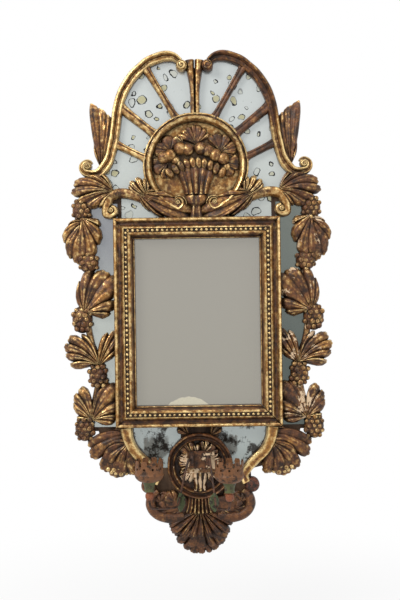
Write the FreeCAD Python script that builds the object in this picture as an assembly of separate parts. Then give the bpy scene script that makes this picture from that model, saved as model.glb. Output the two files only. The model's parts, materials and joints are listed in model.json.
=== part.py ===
"""Giltwood girandole mirror: a carved wall mirror with a fan crest, vine garlands and two candle arms.

Sizes are in millimetres. +Z is up, the mirror faces -Y and the wall is the plane Y = 0.
The origin is the middle of the back, on the wall, behind the main mirror plate.
A height, below, is how far something stands in front of the boards' face, towards the room.
Carved pieces sit flat on that face. Mirror plates are let into the boards and lie flush with it.
"""

import FreeCAD, Part
import math
import os

Vector = FreeCAD.Vector

# ------------------------------------------------------------------ boards, battens and plates
BATTEN_THICKNESS = 14.0
BATTEN_HEIGHT = 40.0
BATTEN_LENGTH = 380.0
BOARD_THICKNESS = 15.0
PLATE_THICKNESS = 3.0
PLATE_PLAY = 0.3  # gap round each plate in its recess
PLATE_COVER = 8.0  # how far the carving overlaps the edge of a plate
SIDE_JOINT_UNDER_FRAME = 12.0  # side boards start this far inside the frame's outer edge
BOARD_JOINT_UNDER_FRAME = 20.0  # boards above and below meet the centre board this far inside the frame

# ------------------------------------------------------------------ main frame
FRAME_WIDTH = 335.0
FRAME_HEIGHT = 420.0
MOULDING_WIDTH = 41.5
MOULDING_HEIGHT = 32.0
BEAD_RADIUS = 3.4
BEAD_PITCH = 10.0
BEAD_BED = 0.82  # floor of the bead groove, as a share of the moulding's height
BEAD_LINE = 0.63  # where the beads run, as a share of the moulding's width

# ------------------------------------------------------------------ crest
CREST_CENTRE_RISE = 105.0  # crest medallion's centre above the frame's top edge
MEDALLION_RADIUS = 104.0
MEDALLION_RIM = 18.0
MEDALLION_HEIGHT = 22.0
DISC_HEIGHT = 7.0
DISC_PLAY = 0.5  # gap between the disc and the ring round it
ROUND_FACETS = 30
ARCH_HALF_WIDTH = 9.5
ARCH_HEIGHT = 22.0
RIB_LINES = ((21.5, 26.5), (52.0, 51.5), (81.0, 74.0))  # from upright, at the medallion and at the arch
RIB_HALF_WIDTH = 8.0
RIB_HEIGHT = 13.0
CENTRE_RIB_HALF_WIDTH = 9.5
CENTRE_RIB_HEAD = 21.0
VOLUTE_RADIUS = 7.0
CREST_BALL_RADIUS = 11.5

# ------------------------------------------------------------------ garlands
LEAF_HEIGHT = 19.0
GRAPE_RADIUS = 7.5
GRAPE_BED = 12.0  # height of the bed that the grapes are carved on

# ------------------------------------------------------------------ apron
APRON_MEDALLION_DROP = 79.0  # apron medallion's centre below the frame's bottom edge
APRON_MEDALLION_RADIUS = 66.0
APRON_RIM = 16.0
APRON_RIM_HEIGHT = 20.0
APRON_FLOOR = 4.0
APRON_CARVING_HEIGHT = 18.0
SCROLL_HALF_WIDTH = 10.0
SCROLL_HEIGHT = 20.0
SHELL_DROP = 176.0  # top of the shell below the frame's bottom edge
SHELL_LENGTH = 83.0
SHELL_HALF_WIDTH = 57.0
SHELL_HEIGHT = 26.0

# ------------------------------------------------------------------ candle arms
BRACKET_THICKNESS = 2.5
BRACKET_HEIGHT = 34.0
BRACKET_WIDTH = 44.0
PIVOT_OUT = 16.0  # each arm's pin, left and right of the middle
PIVOT_STAND_OFF = 10.0  # pin's axis in front of the bracket plate
PIVOT_RISE = 14.0  # middle of the sleeves above the apron medallion's centre
PIN_RADIUS = 2.5
PIN_FIT = 0.05
LUG_RADIUS = 5.0
LUG_THICKNESS = 4.0
SLEEVE_LENGTH = 20.0
SLEEVE_END_PLAY = 0.3
WIRE_RADIUS = 2.25
WIRE_FACETS = 6
TURNED_FACETS = 10
ARM_REACH = 135.0
ARM_DIP = 84.0  # lowest corner of the wire below the middle of the sleeve
ARM_ELBOW = 13.0  # where the wire turns down, from the pin
ARM_LOW_REACH = 50.0  # lowest corner of the wire, from the pin
ARM_END_DIP = 72.0  # corner below the knob, below the middle of the sleeve
ARM_LEFT_ANGLE = 36.0  # how far each arm is swung outwards at rest
ARM_RIGHT_ANGLE = 16.5
ELBOW_BEND = 5.0
INNER_BEND = 22.0
OUTER_BEND = 9.0
KNOB_BELOW_PIVOT = 55.0  # knob's underside below the middle of the sleeve
KNOB_RADIUS = 8.0
KNOB_LENGTH = 16.0
STEM_LENGTH = 19.0
STEM_BOTTOM_RADIUS = 9.0
STEM_TOP_RADIUS = 13.0
LEAF_ALONG_ARM = 66.0  # tin leaf's collar, from the elbow
CROWN_WALL = 1.2
CROWN_FACETS = 10
CROWN_POINTS = 10
CROWN_FOOT_RADIUS = 13.0
CROWN_BELLY_RADIUS = 27.2
CROWN_RIM_RADIUS = 27.0
CROWN_BOWL_LENGTH = 14.0
CROWN_LENGTH = 41.0
CROWN_NOTCH_DEPTH = 11.0
CROWN_HOLE_RADIUS = 2.6
NOZZLE_BORE_RADIUS = 11.0
NOZZLE_WALL = 1.0
NOZZLE_DEPTH = 26.0
NOZZLE_BASE = 1.5
WIRE_END_RECESS = 0.3  # riveted end of the wire below the socket's floor

# ------------------------------------------------------------------ hanging ring and nails
RING_RADIUS = 18.0
RING_WIRE = 2.5
RING_STEPS = 18
STAPLE_WIRE = 1.5
STAPLE_EYE = 2.8  # inside radius of the staple's bow
STAPLE_LEG = 10.0
STAPLE_ROUNDING = 0.15  # how much the bow's inside is rounded off where the ring turns in it
RING_RISE = 245.0  # staple above the frame's top edge
NAIL_HEAD = 6.0
NAIL_POINT = 2.0
NAIL_LENGTH = 24.0
NAIL_PLAY = 0.05

# ------------------------------------------------------------------ places worked out from the sizes
BOARD_BACK = -BATTEN_THICKNESS
BOARD_FACE = BOARD_BACK - BOARD_THICKNESS
FRAME_TOP = FRAME_HEIGHT / 2
FRAME_BOTTOM = -FRAME_TOP
FRAME_SIDE = FRAME_WIDTH / 2
JOINT_TOP = FRAME_TOP - BOARD_JOINT_UNDER_FRAME
JOINT_BOTTOM = FRAME_BOTTOM + BOARD_JOINT_UNDER_FRAME
JOINT_SIDE = FRAME_SIDE - SIDE_JOINT_UNDER_FRAME
CREST_CENTRE = FRAME_TOP + CREST_CENTRE_RISE
APRON_CENTRE = FRAME_BOTTOM - APRON_MEDALLION_DROP
SIDE_TOP = CREST_CENTRE - 66.0
SIDE_BOTTOM = FRAME_BOTTOM - 8.0
SHELL_TOP = FRAME_BOTTOM - SHELL_DROP
PLATE_BACK = -PLATE_THICKNESS
BRACKET_BACK = APRON_CARVING_HEIGHT
BRACKET_FACE = BRACKET_BACK + BRACKET_THICKNESS
PIVOT_HEIGHT = BRACKET_FACE + PIVOT_STAND_OFF
PIVOT_LEVEL = APRON_CENTRE + PIVOT_RISE


# ------------------------------------------------------------------ tools for outlines
def at(x, height, z):
    """A point that stands `height` in front of the boards' face."""
    return Vector(x, BOARD_FACE - height, z)


def outline(points, height):
    """A closed wire through (x, z) points, at one height."""
    corners = [at(x, height, z) for x, z in points]
    return Part.makePolygon(corners + corners[:1])


def slab(points, low, high):
    """A flat piece with that outline, between two heights."""
    return Part.Face(outline(points, low)).extrude(Vector(0, low - high, 0))


def skinned(rings):
    """A faceted solid through rings of points: flat ends, and sides of flat quarters or triangles."""
    faces = [facet(rings[0]), facet(rings[-1])]
    count = len(rings[0])
    for lower, upper in zip(rings, rings[1:]):
        for k in range(count):
            corners = [lower[k], lower[(k + 1) % count], upper[(k + 1) % count], upper[k]]
            normal = (corners[1] - corners[0]).cross(corners[3] - corners[0])
            if abs(normal.dot(corners[2] - corners[0])) < 1e-6 * max(normal.Length, 1e-9):
                faces.append(facet(corners))
            else:
                faces.append(facet([corners[0], corners[1], corners[2]]))
                faces.append(facet([corners[0], corners[2], corners[3]]))
    solid = Part.makeSolid(Part.makeShell(faces))
    if solid.Volume < 0:
        solid.reverse()
    return solid


def facet(corners):
    """One flat face."""
    return Part.Face(Part.makePolygon(list(corners) + [corners[0]]))


def relief(levels):
    """A carved piece that rises through (points, height) levels with the same number of points."""
    return skinned([[at(x, height, z) for x, z in points] for points, height in levels])


def shrunk(points, across, along=None, centre=None):
    """The outline drawn in towards its centre, by one share in X and one in Z."""
    along = across if along is None else along
    if centre is None:
        centre = (sum(p[0] for p in points) / len(points), sum(p[1] for p in points) / len(points))
    return [(centre[0] + (x - centre[0]) * across, centre[1] + (z - centre[1]) * along) for x, z in points]


def inset(points, distance):
    """The outline moved inwards by a distance, corner by corner. Points run anticlockwise or clockwise."""
    count = len(points)
    area = sum(points[i][0] * points[(i + 1) % count][1] - points[(i + 1) % count][0] * points[i][1]
               for i in range(count))
    side = 1.0 if area > 0 else -1.0
    moved = []
    for i in range(count):
        before, here, after = points[i - 1], points[i], points[(i + 1) % count]
        first = math.atan2(here[1] - before[1], here[0] - before[0])
        second = math.atan2(after[1] - here[1], after[0] - here[0])
        turn = (second - first + math.pi) % (2 * math.pi) - math.pi
        reach = distance / math.cos(turn / 2)
        normal = first + turn / 2 + side * math.pi / 2
        moved.append((here[0] + reach * math.cos(normal), here[1] + reach * math.sin(normal)))
    return moved


def turned(points, angle, centre):
    """The outline turned anticlockwise about the origin and then moved to a centre."""
    c, s = math.cos(math.radians(angle)), math.sin(math.radians(angle))
    return [(centre[0] + x * c - z * s, centre[1] + x * s + z * c) for x, z in points]


def mirrored(shape):
    """The same piece on the other side of the middle."""
    return shape.mirror(Vector(0, 0, 0), Vector(1, 0, 0))


def largest(shape):
    """The biggest solid of a shape, without the splinters that a cut can leave."""
    return max(shape.Solids, key=lambda solid: solid.Volume)


def clear_of(piece, *neighbours):
    """The piece cut back where neighbours that are already in place stand."""
    for neighbour in neighbours:
        if piece.BoundBox.intersect(neighbour.BoundBox):
            piece = largest(piece.cut(neighbour))
    return piece


# ------------------------------------------------------------------ tools for carved forms
def polygon(x, z, reach, sides):
    """A regular polygon of (x, z) points round a centre."""
    turns = [2 * math.pi * k / sides for k in range(sides)]
    return [(x + reach * math.cos(turn), z + reach * math.sin(turn)) for turn in turns]


def dome(x, z, base, radius, height, sides=5, rings=1):
    """A faceted ball half sunk in its bed: polygons that draw in as they rise."""
    levels = []
    top = math.radians(62.0)
    for ring in range(rings + 1):
        slope = top * ring / rings
        reach = radius * math.cos(slope)
        levels.append((polygon(x, z, reach, sides), base + height * math.sin(slope) / math.sin(top)))
    return relief(levels)


def smooth_path(points, steps):
    """(place, direction) pairs along a spline through the points, evenly spread."""
    curve = Part.BSplineCurve()
    curve.interpolate([Vector(x, 0, z) for x, z in points])
    spots = []
    for spot in curve.discretize(steps):
        along = curve.tangent(curve.parameter(spot))[0]
        spots.append(((spot.x, spot.z), (along.x, along.z)))
    return spots


def rail(points, steps, half_width, height, end_width=None, profile=None):
    """A moulded band carried along a path. The profile gives (share of half width, share of height)."""
    profile = profile or SCROLL_PROFILE
    end_width = half_width if end_width is None else end_width
    sections = []
    for index, (place, along) in enumerate(smooth_path(points, steps)):
        share = index / (steps - 1)
        half = end_width + (half_width - end_width) * min(1.0, 3.0 * share)
        across = (along[1], -along[0])
        sections.append([at(place[0] + across[0] * half * s, height * h, place[1] + across[1] * half * s)
                         for s, h in profile])
    return skinned(sections)


SCROLL_PROFILE = ((-1.0, 0.0), (-1.0, 0.6), (-0.5, 1.0), (0.1, 0.65), (1.0, 0.5), (1.0, 0.0))
REED_PROFILE = ((-1.0, 0.0), (-1.0, 0.45), (-0.5, 1.0), (0.0, 0.5), (0.5, 1.0), (1.0, 0.45), (1.0, 0.0))


def leaf_outline(length, width, lobes, bite):
    """A pointed leaf, base at the origin and tip up, whose edge is bitten into rounded lobes."""
    side = []
    steps = 2 * lobes + 1
    for k in range(1, steps):
        share = k / steps
        swell = math.sin(math.pi * share ** 0.75)
        edge = 1.0 - bite * abs(math.cos(math.pi * lobes * share))
        side.append((width / 2 * swell * edge, length * share))
    return [(0.0, 0.0)] + side + [(0.0, length)] + [(-x, z) for x, z in reversed(side)]


def acanthus(base, angle, length, width, lobes=4, bite=0.35, height=LEAF_HEIGHT, low=0.0):
    """A carved leaf with a raised midrib. The angle is from upright, anticlockwise."""
    edge = leaf_outline(length, width, lobes, bite)
    levels = []
    for across, along, share in ((1.0, 1.0, 0.0), (1.0, 1.0, 0.45), (0.3, 0.92, 1.0)):
        drawn = [(x * across, length / 2 + (z - length / 2) * along) for x, z in edge]
        levels.append((turned(drawn, angle, base), low + (height - low) * share))
    return relief(levels)


def vine_leaf(centre, angle, width, length, height=LEAF_HEIGHT):
    """A five-lobed vine leaf with a rounded end to each lobe, domed towards its middle."""
    edge = []
    for k in range(15):
        around = 2 * math.pi * (k - 0.5) / 15
        lobe = 0.74 if k % 3 == 2 else 1.0
        edge.append((width / 2 * lobe * math.sin(around), length / 2 * lobe * math.cos(around)))
    return relief([(turned(shrunk(edge, share, centre=(0, 0)), angle, centre), height * rise)
                   for share, rise in ((1.0, 0.0), (1.0, 0.45), (0.5, 1.0))])


def grape_cluster(centre, width, length):
    """A bunch of grapes: a rounded bed with rows of grapes carved on it."""
    sides = 7
    edge = [(centre[0] + width / 2 * math.cos(2 * math.pi * k / sides),
             centre[1] + length / 2 * math.sin(2 * math.pi * k / sides)) for k in range(sides)]
    bed = relief([(edge, 0.0), (edge, GRAPE_BED * 0.7), (shrunk(edge, 0.72), GRAPE_BED)])
    pitch = 2.1 * GRAPE_RADIUS
    grapes = []
    rows = int(length / 2 / (pitch * 0.87)) + 1
    for row in range(-rows, rows + 1):
        shift = pitch / 2 if row % 2 else 0.0
        for column in range(-3, 4):
            x, z = column * pitch + shift, row * pitch * 0.87
            if (x / (width / 2)) ** 2 + (z / (length / 2)) ** 2 < 0.5:
                grapes.append(dome(centre[0] + x, centre[1] + z, GRAPE_BED - 1.5, GRAPE_RADIUS,
                                   GRAPE_RADIUS + 2.0, 4))
    return bed.multiFuse(grapes)


def volute(centre, radius, height):
    """The button in the eye of a scroll."""
    return dome(centre[0], centre[1], 0.0, radius, height, 6)


def spiral(centre, start, turn, inner, outer, count):
    """Points that wind outwards round a centre, from a start angle through a turn."""
    points = []
    for k in range(count):
        share = k / (count - 1)
        around = math.radians(start + turn * share)
        reach = inner + (outer - inner) * share
        points.append((centre[0] + reach * math.cos(around), centre[1] + reach * math.sin(around)))
    return points


def fluted(sections, flutes, height, low=0.0):
    """A half-round fluted form lofted through (z, half width, share of height) sections."""
    wires = []
    for z, half, share in sections:
        corners = [at(-half, low, z)]
        count = 2 * flutes
        for k in range(count + 1):
            x = half * (2.0 * k / count - 1.0)
            round_part = math.sqrt(max(0.0, 1.0 - (x / half) ** 2 * 0.85))
            groove = 0.82 if k % 2 == 0 else 1.0
            corners.append(at(x, low + height * share * round_part * groove, z))
        corners.append(at(half, low, z))
        wires.append(corners)
    return skinned(wires)


# ------------------------------------------------------------------ main frame
def moulding_profile():
    """The frame's section as (distance in from the outer edge, height) points."""
    w, h = MOULDING_WIDTH, MOULDING_HEIGHT
    return [(0.0, 0.0), (0.0, 0.72 * h), (0.05 * w, 0.88 * h), (0.13 * w, 0.92 * h), (0.2 * w, 0.8 * h),
            (0.24 * w, 0.66 * h), (0.32 * w, 0.66 * h), (0.42 * w, 0.84 * h), (0.5 * w, 0.95 * h),
            (0.54 * w, 0.95 * h), (0.545 * w, BEAD_BED * h), (0.715 * w, BEAD_BED * h), (0.72 * w, 0.9 * h),
            (0.76 * w, 0.88 * h), (0.86 * w, 0.66 * h), (0.94 * w, 0.36 * h), (w, 0.3 * h), (w, 0.0)]


def mitred_bar(start, end, inward):
    """One side of the frame, mitred at both ends."""
    length = math.hypot(end[0] - start[0], end[1] - start[1])
    along = ((end[0] - start[0]) / length, (end[1] - start[1]) / length)
    wires = []
    for corner, slope in ((start, 1.0), (end, -1.0)):
        cut = (inward[0] + slope * along[0], inward[1] + slope * along[1])
        wires.append([at(corner[0] + w * cut[0], h, corner[1] + w * cut[1]) for w, h in moulding_profile()])
    return skinned(wires)


def bead_string(start, end, inward):
    """The string of beads let into one side of the frame: a strip that swells and narrows."""
    length = math.hypot(end[0] - start[0], end[1] - start[1])
    along = ((end[0] - start[0]) / length, (end[1] - start[1]) / length)
    line = BEAD_LINE * MOULDING_WIDTH
    count = int((length - 2 * line - BEAD_PITCH) / BEAD_PITCH)
    first = (length - count * BEAD_PITCH) / 2
    bed = BEAD_BED * MOULDING_HEIGHT
    rings = []
    for k in range(2 * count + 1):
        reach = first + k * BEAD_PITCH / 2
        half, rise = (BEAD_RADIUS, 1.2 * BEAD_RADIUS) if k % 2 else (0.4 * BEAD_RADIUS, 0.4 * BEAD_RADIUS)
        middle = [start[axis] + along[axis] * reach + inward[axis] * line for axis in (0, 1)]
        rings.append([at(middle[0] + inward[0] * w, h, middle[1] + inward[1] * w)
                      for w, h in ((-half, bed), (0.0, bed + rise), (half, bed))])
    return skinned(rings)


def frame_sides():
    """The four sides of the frame by name: start, end and the direction inwards."""
    left, right, top, bottom = -FRAME_SIDE, FRAME_SIDE, FRAME_TOP, FRAME_BOTTOM
    return {
        "frame_rail_top": ((left, top), (right, top), (0, -1)),
        "frame_rail_bottom": ((left, bottom), (right, bottom), (0, 1)),
        "frame_stile_left": ((left, bottom), (left, top), (1, 0)),
        "frame_stile_right": ((right, bottom), (right, top), (-1, 0)),
    }


def build_frame():
    """The four mitred mouldings round the main plate."""
    return {name: mitred_bar(*side) for name, side in frame_sides().items()}


# ------------------------------------------------------------------ crest
def arch_points():
    """The line of the left arch above the crest's centre, from the side scroll up to the middle."""
    shape = ((-175, 13), (-166, 45), (-161, 75), (-157, 105), (-151, 133), (-139, 160), (-119, 187),
             (-92, 209), (-66, 219), (-40, 219))
    return [(x, CREST_CENTRE + z) for x, z in shape]


def from_crest(reach, angle):
    """The (x, z) point at a distance from the crest's centre, at degrees to the left of upright."""
    turn = math.radians(angle)
    return (-reach * math.sin(turn), CREST_CENTRE + reach * math.cos(turn))


SIDE_SCROLL_EYE = (-216.5, CREST_CENTRE + 1.0)
SIDE_SCROLL_START = 40.0
SIDE_SCROLL_TURN = 225.0
RING_SWEEP = 149
RING_CURL_START = -80.0
RING_CURL_TURN = 200.0


def arch_left():
    """The left half of the arch: a moulded band that ends in a scroll below and a ball above."""
    wound = spiral(SIDE_SCROLL_EYE, SIDE_SCROLL_START, SIDE_SCROLL_TURN, VOLUTE_RADIUS + 3.0,
                   VOLUTE_RADIUS + 8.5, 6)
    foot = [(-203.0, CREST_CENTRE - 15.0), (-187.0, CREST_CENTRE - 6.0)]
    head = [(-CENTRE_RIB_HEAD - 5.0, CREST_CENTRE + 208.0)]
    band = rail(wound + foot + arch_points() + head, 25, ARCH_HALF_WIDTH, ARCH_HEIGHT, end_width=3.5)
    eye = volute(SIDE_SCROLL_EYE, VOLUTE_RADIUS, ARCH_HEIGHT)
    ball = dome(-CENTRE_RIB_HEAD - 2.0, CREST_CENTRE + 198.0, 0.0, CREST_BALL_RADIUS, ARCH_HEIGHT + 4.0, 8, 2)
    return band.multiFuse([eye, ball])


def apron_dish():
    """The apron medallion: a sunk floor inside a raised round rim, turned in one piece."""
    radius, rim, high = APRON_MEDALLION_RADIUS, APRON_RIM, APRON_RIM_HEIGHT
    section = ((radius, 0.0), (radius, 0.5 * high), (radius - 0.3 * rim, 0.95 * high),
               (radius - 0.7 * rim, high), (radius - rim, APRON_FLOOR))
    return relief([(circle(APRON_CENTRE, reach), height) for reach, height in section])


def circle(centre, radius):
    """The outline of a turned piece, centred on the middle of the mirror."""
    return polygon(0.0, centre, radius, ROUND_FACETS)


def crest_disc():
    """The floor of the crest medallion."""
    edge = circle(CREST_CENTRE, MEDALLION_RADIUS - MEDALLION_RIM - DISC_PLAY)
    return relief([(edge, 0.0), (edge, DISC_HEIGHT)])


def ring_left():
    """The left half of the ring round the crest medallion, which curls in at its foot."""
    middle = MEDALLION_RADIUS - MEDALLION_RIM / 2
    path = [from_crest(middle, angle) for angle in range(0, RING_SWEEP, 21)]
    eye = (-38.0, CREST_CENTRE - 74.0)
    path += spiral(eye, RING_CURL_START, RING_CURL_TURN, 14.0, 9.0, 5)
    band = rail(list(reversed(path)), 17, MEDALLION_RIM / 2, MEDALLION_HEIGHT, 4.0, RING_PROFILE)
    past_middle = Part.makeBox(2 * MEDALLION_RADIUS, 200.0, 6 * MEDALLION_RADIUS, Vector(0, -200.0, 0.0))
    return largest(band.cut(past_middle))


RING_PROFILE = ((1.0, 0.0), (1.0, 0.45), (0.5, 1.0), (-0.4, 1.0), (-1.0, 0.45), (-1.0, 0.0))


def rib(start, end):
    """A reeded bar of the left half, from the crest medallion out to the arch."""
    length = math.hypot(end[0] - start[0], end[1] - start[1])
    across = ((end[1] - start[1]) / length, (start[0] - end[0]) / length)
    wires = []
    for place, half in ((start, RIB_HALF_WIDTH * 0.8), (end, RIB_HALF_WIDTH * 1.15)):
        wires.append([at(place[0] + across[0] * half * w, RIB_HEIGHT * h, place[1] + across[1] * half * w)
                      for w, h in REED_PROFILE])
    return skinned(wires)


def arch_reach(angle):
    """How far the arch's line lies from the crest's centre, at an angle from upright to the left."""
    c, s = math.cos(math.radians(angle)), math.sin(math.radians(angle))
    line = [(-187.0, CREST_CENTRE - 6.0)] + arch_points() + [(0.0, CREST_CENTRE + 200.0)]
    for (x0, z0), (x1, z1) in zip(line, line[1:]):
        z0, z1 = z0 - CREST_CENTRE, z1 - CREST_CENTRE
        from_ray, to_ray = x0 * c + z0 * s, x1 * c + z1 * s
        if from_ray <= 0.0 <= to_ray and from_ray != to_ray:
            share = from_ray / (from_ray - to_ray)
            return math.hypot(x0 + (x1 - x0) * share, z0 + (z1 - z0) * share)
    raise ValueError("the arch doesn't cross this angle")


def centre_rib():
    """The upright in the middle of the fan, reeded, with a head that spreads between the two balls."""
    base = CREST_CENTRE + MEDALLION_RADIUS - 4.0
    top = CREST_CENTRE + 204.0
    wires = []
    for share, half in ((0.0, CENTRE_RIB_HALF_WIDTH * 0.9), (0.45, CENTRE_RIB_HALF_WIDTH),
                        (0.75, CENTRE_RIB_HALF_WIDTH * 1.3), (0.9, CENTRE_RIB_HEAD * 0.85),
                        (1.0, CENTRE_RIB_HEAD)):
        z = base + (top - base) * share
        wires.append([at(half * w, (RIB_HEIGHT + 4.0 * share) * h, z) for w, h in REED_PROFILE])
    return skinned(wires)


def fruit_basket():
    """The fluted basket on the crest medallion, with its gadrooned rim, its foot and its stem."""
    body = fluted([(CREST_CENTRE - 2, 42, 0.6), (CREST_CENTRE - 16, 35, 0.7), (CREST_CENTRE - 40, 27, 0.85),
                   (CREST_CENTRE - 58, 22, 0.8)], 4, 18.0, DISC_HEIGHT)
    foot = fluted([(CREST_CENTRE - 57, 20, 0.7), (CREST_CENTRE - 65, 25, 1.0), (CREST_CENTRE - 76, 24, 0.9),
                   (CREST_CENTRE - 83, 14, 0.7)], 2, 16.0, DISC_HEIGHT)
    stem = fluted([(CREST_CENTRE - 80, 11, 0.9), (FRAME_TOP + 0.5, 15, 1.0)], 2, 17.0)
    return body.multiFuse([foot, stem] + basket_rim())


def basket_rim():
    """The rope-like rim of the basket, a row of rounded lumps on an arch."""
    count = 7
    lumps = []
    for k in range(count):
        share = 2.0 * k / (count - 1) - 1.0
        place = (52.0 * share, CREST_CENTRE + 2.0 - 18.0 * share * share)
        edge = turned(polygon(0.0, 0.0, 10.4, 5), -26.0 * share, place)
        lumps.append(relief([(edge, DISC_HEIGHT), (edge, 15.0), (shrunk(edge, 0.5), 22.0)]))
    return lumps


def fruit():
    """The round fruits heaped in pairs above the basket's rim."""
    heap = ((-61.0, 19.0, 13.0), (-42.0, 18.0, 12.0), (-27.0, 34.0, 14.0), (-8.0, 29.0, 12.0),
            (13.0, 35.0, 14.0), (30.0, 24.0, 12.0), (46.0, 25.0, 13.0), (60.0, 13.0, 11.0))
    return [dome(x, CREST_CENTRE + z, DISC_HEIGHT, radius, 1.5 * radius, 6, 2) for x, z, radius in heap]


def basket_leaves():
    """The leaves that spread round the fruit, and the small shell at their top."""
    spread = ((-48, 24, 48, 42, 36), (-56, 2, 102, 27, 28), (48, 26, -48, 42, 36), (56, 0, -102, 27, 28))
    leaves = [acanthus((x, CREST_CENTRE + z), angle, length, width, 2, 0.2, 19.0, DISC_HEIGHT)
              for x, z, angle, length, width in spread]
    fan = [acanthus((0.0, CREST_CENTRE + 40.0), angle, 41.0, 30.0, 1, 0.1, 20.0, DISC_HEIGHT)
           for angle in (-56, 0, 56)]
    return leaves, fan[0].multiFuse(fan[1:])


def outer_leaf():
    """The upright leaf that stands against the outside of the left arch."""
    return acanthus((-186.0, CREST_CENTRE + 8.0), 5.0, 112.0, 50.0, 4, 0.22, 16.0)


def corner_leaf_left():
    """The carved leaf at the left corner of the crest."""
    leaves = [acanthus((-170.0, CREST_CENTRE - 46.0), angle, length, 34.0, 2, 0.22, 23.0)
              for angle, length in ((58.0, 58.0), (86.0, 72.0), (112.0, 62.0))]
    return leaves[0].multiFuse(leaves[1:])


def shoulder_scroll_left():
    """The scroll that rises from the frame's corner and runs to the crest medallion, with its small leaf."""
    eye = (-171.0, FRAME_TOP + 17.0)
    path = spiral(eye, 60.0, -210.0, 8.0, 13.0, 5)
    path += [(-176.0, CREST_CENTRE - 66.0), (-150.0, CREST_CENTRE - 55.0), (-112.0, CREST_CENTRE - 62.0),
             (-84.0, CREST_CENTRE - 80.0)]
    band = rail(path, 15, 9.0, 18.0, end_width=3.5)
    button = volute(eye, 5.5, 17.0)
    crocket = acanthus((-112.0, CREST_CENTRE - 72.0), 18.0, 38.0, 28.0, 2, 0.2, 17.0)
    return band.multiFuse([button, crocket])


def build_crest(frame):
    """Everything carved above the frame."""
    rails = list(frame.values())
    disc = crest_disc()
    ring = clear_of(ring_left(), disc, frame["frame_rail_top"])
    rings = [ring, mirrored(ring)]
    arch = arch_left()
    arches = {"crest_arch_left": arch, "crest_arch_right": mirrored(arch)}
    middle = clear_of(centre_rib(), *rings, *arches.values())
    ribs_left, ribs_right = [], []
    for near, far in RIB_LINES:
        bar = rib(from_crest(MEDALLION_RADIUS - 4.0, near), from_crest(arch_reach(far), far))
        bar = clear_of(bar, ring, arch)
        ribs_left.append(bar)
        ribs_right.append(mirrored(bar))
    basket = clear_of(fruit_basket(), disc, *rings, frame["frame_rail_top"])
    balls = []
    for ball in fruit():
        balls.append(clear_of(ball, basket, *balls))
    leaves, fan = basket_leaves()
    leaves = [clear_of(leaf, basket, *rings, *balls) for leaf in leaves]
    fan = clear_of(fan, *rings, *balls, *leaves)
    scroll = clear_of(shoulder_scroll_left(), ring, *rails)
    corner = clear_of(corner_leaf_left(), arch, scroll)
    leaf = clear_of(outer_leaf(), arch, corner)
    pieces = {
        "crest_disc": disc,
        "crest_ring": Part.makeCompound(rings),
        "crest_rib_centre": middle,
        "crest_ribs": Part.makeCompound(ribs_left + ribs_right),
        "basket": basket,
        "basket_fruit": Part.makeCompound(balls + leaves + [fan]),
        "crest_scroll_left": scroll,
        "crest_scroll_right": mirrored(scroll),
        "crest_corner_leaf_left": corner,
        "crest_corner_leaf_right": mirrored(corner),
        "crest_leaf_left": leaf,
        "crest_leaf_right": mirrored(leaf),
    }
    pieces.update(arches)
    return pieces


# ------------------------------------------------------------------ garlands
# Each bunch or leaf down the left side: distance out from the frame, distance below the frame's top,
# width, length
BUNCHES = ((61.5, -17.0, 42.0, 50.0), (51.0, 88.0, 42.0, 46.0), (62.5, 201.0, 46.0, 56.0),
           (33.5, 314.0, 40.0, 52.0), (62.5, 422.0, 43.0, 54.0))
# and the angle that a leaf is turned from upright.
VINE_LEAVES = ((69.5, 39.0, 74.0, 84.0, -14.0), (41.5, 145.0, 80.0, 96.0, 24.0),
               (47.0, 258.0, 86.0, 92.0, 14.0), (43.0, 372.0, 68.0, 86.0, -14.0))


def garland_left(frame, *neighbours):
    """The left garland, carved in one length: bunches of grapes and vine leaves that run into each other."""
    bunches = [grape_cluster((-FRAME_SIDE - out, FRAME_TOP - below), width, length)
               for out, below, width, length in BUNCHES]
    leaves = [vine_leaf((-FRAME_SIDE - out, FRAME_TOP - below), angle, width, length)
              for out, below, width, length, angle in VINE_LEAVES]
    whole = leaves[0].multiFuse(leaves[1:] + bunches)
    return clear_of(whole, frame["frame_stile_left"], *neighbours)


def garland_line():
    """The line down the middle of the left garland, which the side board's edge follows."""
    spots = sorted((row[1], row[0]) for row in BUNCHES + VINE_LEAVES)
    return [(-FRAME_SIDE - out, FRAME_TOP - below) for below, out in spots]


# ------------------------------------------------------------------ apron
def apron_scroll_points():
    """The line of the gilt scroll that runs from the frame's corner down to the left volute."""
    shape = ((-146.0, 4.0), (-142.0, 26.0), (-129.0, 50.0), (-110.0, 68.0), (-95.0, 84.0), (-88.0, 100.0),
             (-92.0, 112.0))
    return [(x, FRAME_BOTTOM - z) for x, z in shape]


APRON_EYE = (-104.0, FRAME_BOTTOM - 118.0)


def apron_scroll_left():
    """The left apron scroll and its volute."""
    band = rail(list(reversed(apron_scroll_points())), 14, SCROLL_HALF_WIDTH, SCROLL_HEIGHT, end_width=8.0)
    eye = dome(APRON_EYE[0], APRON_EYE[1], 0.0, 16.0, SCROLL_HEIGHT, 12, 2)
    return band.fuse(eye)


def apron_leaf_left():
    """The spreading leaves and the low bunch outside the left apron scroll."""
    root = (-134.0, FRAME_BOTTOM - 44.0)
    leaves = [acanthus(root, angle, length, width, 2, 0.2, height)
              for angle, length, width, height in ((44.0, 56.0, 38.0, 17.0), (78.0, 92.0, 50.0, 20.0),
                                                   (106.0, 72.0, 44.0, 19.0), (146.0, 60.0, 46.0, 17.0))]
    bunch = grape_cluster((-164.0, FRAME_BOTTOM - 82.0), 56.0, 34.0)
    return leaves[0].multiFuse(leaves[1:] + [bunch])


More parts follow.
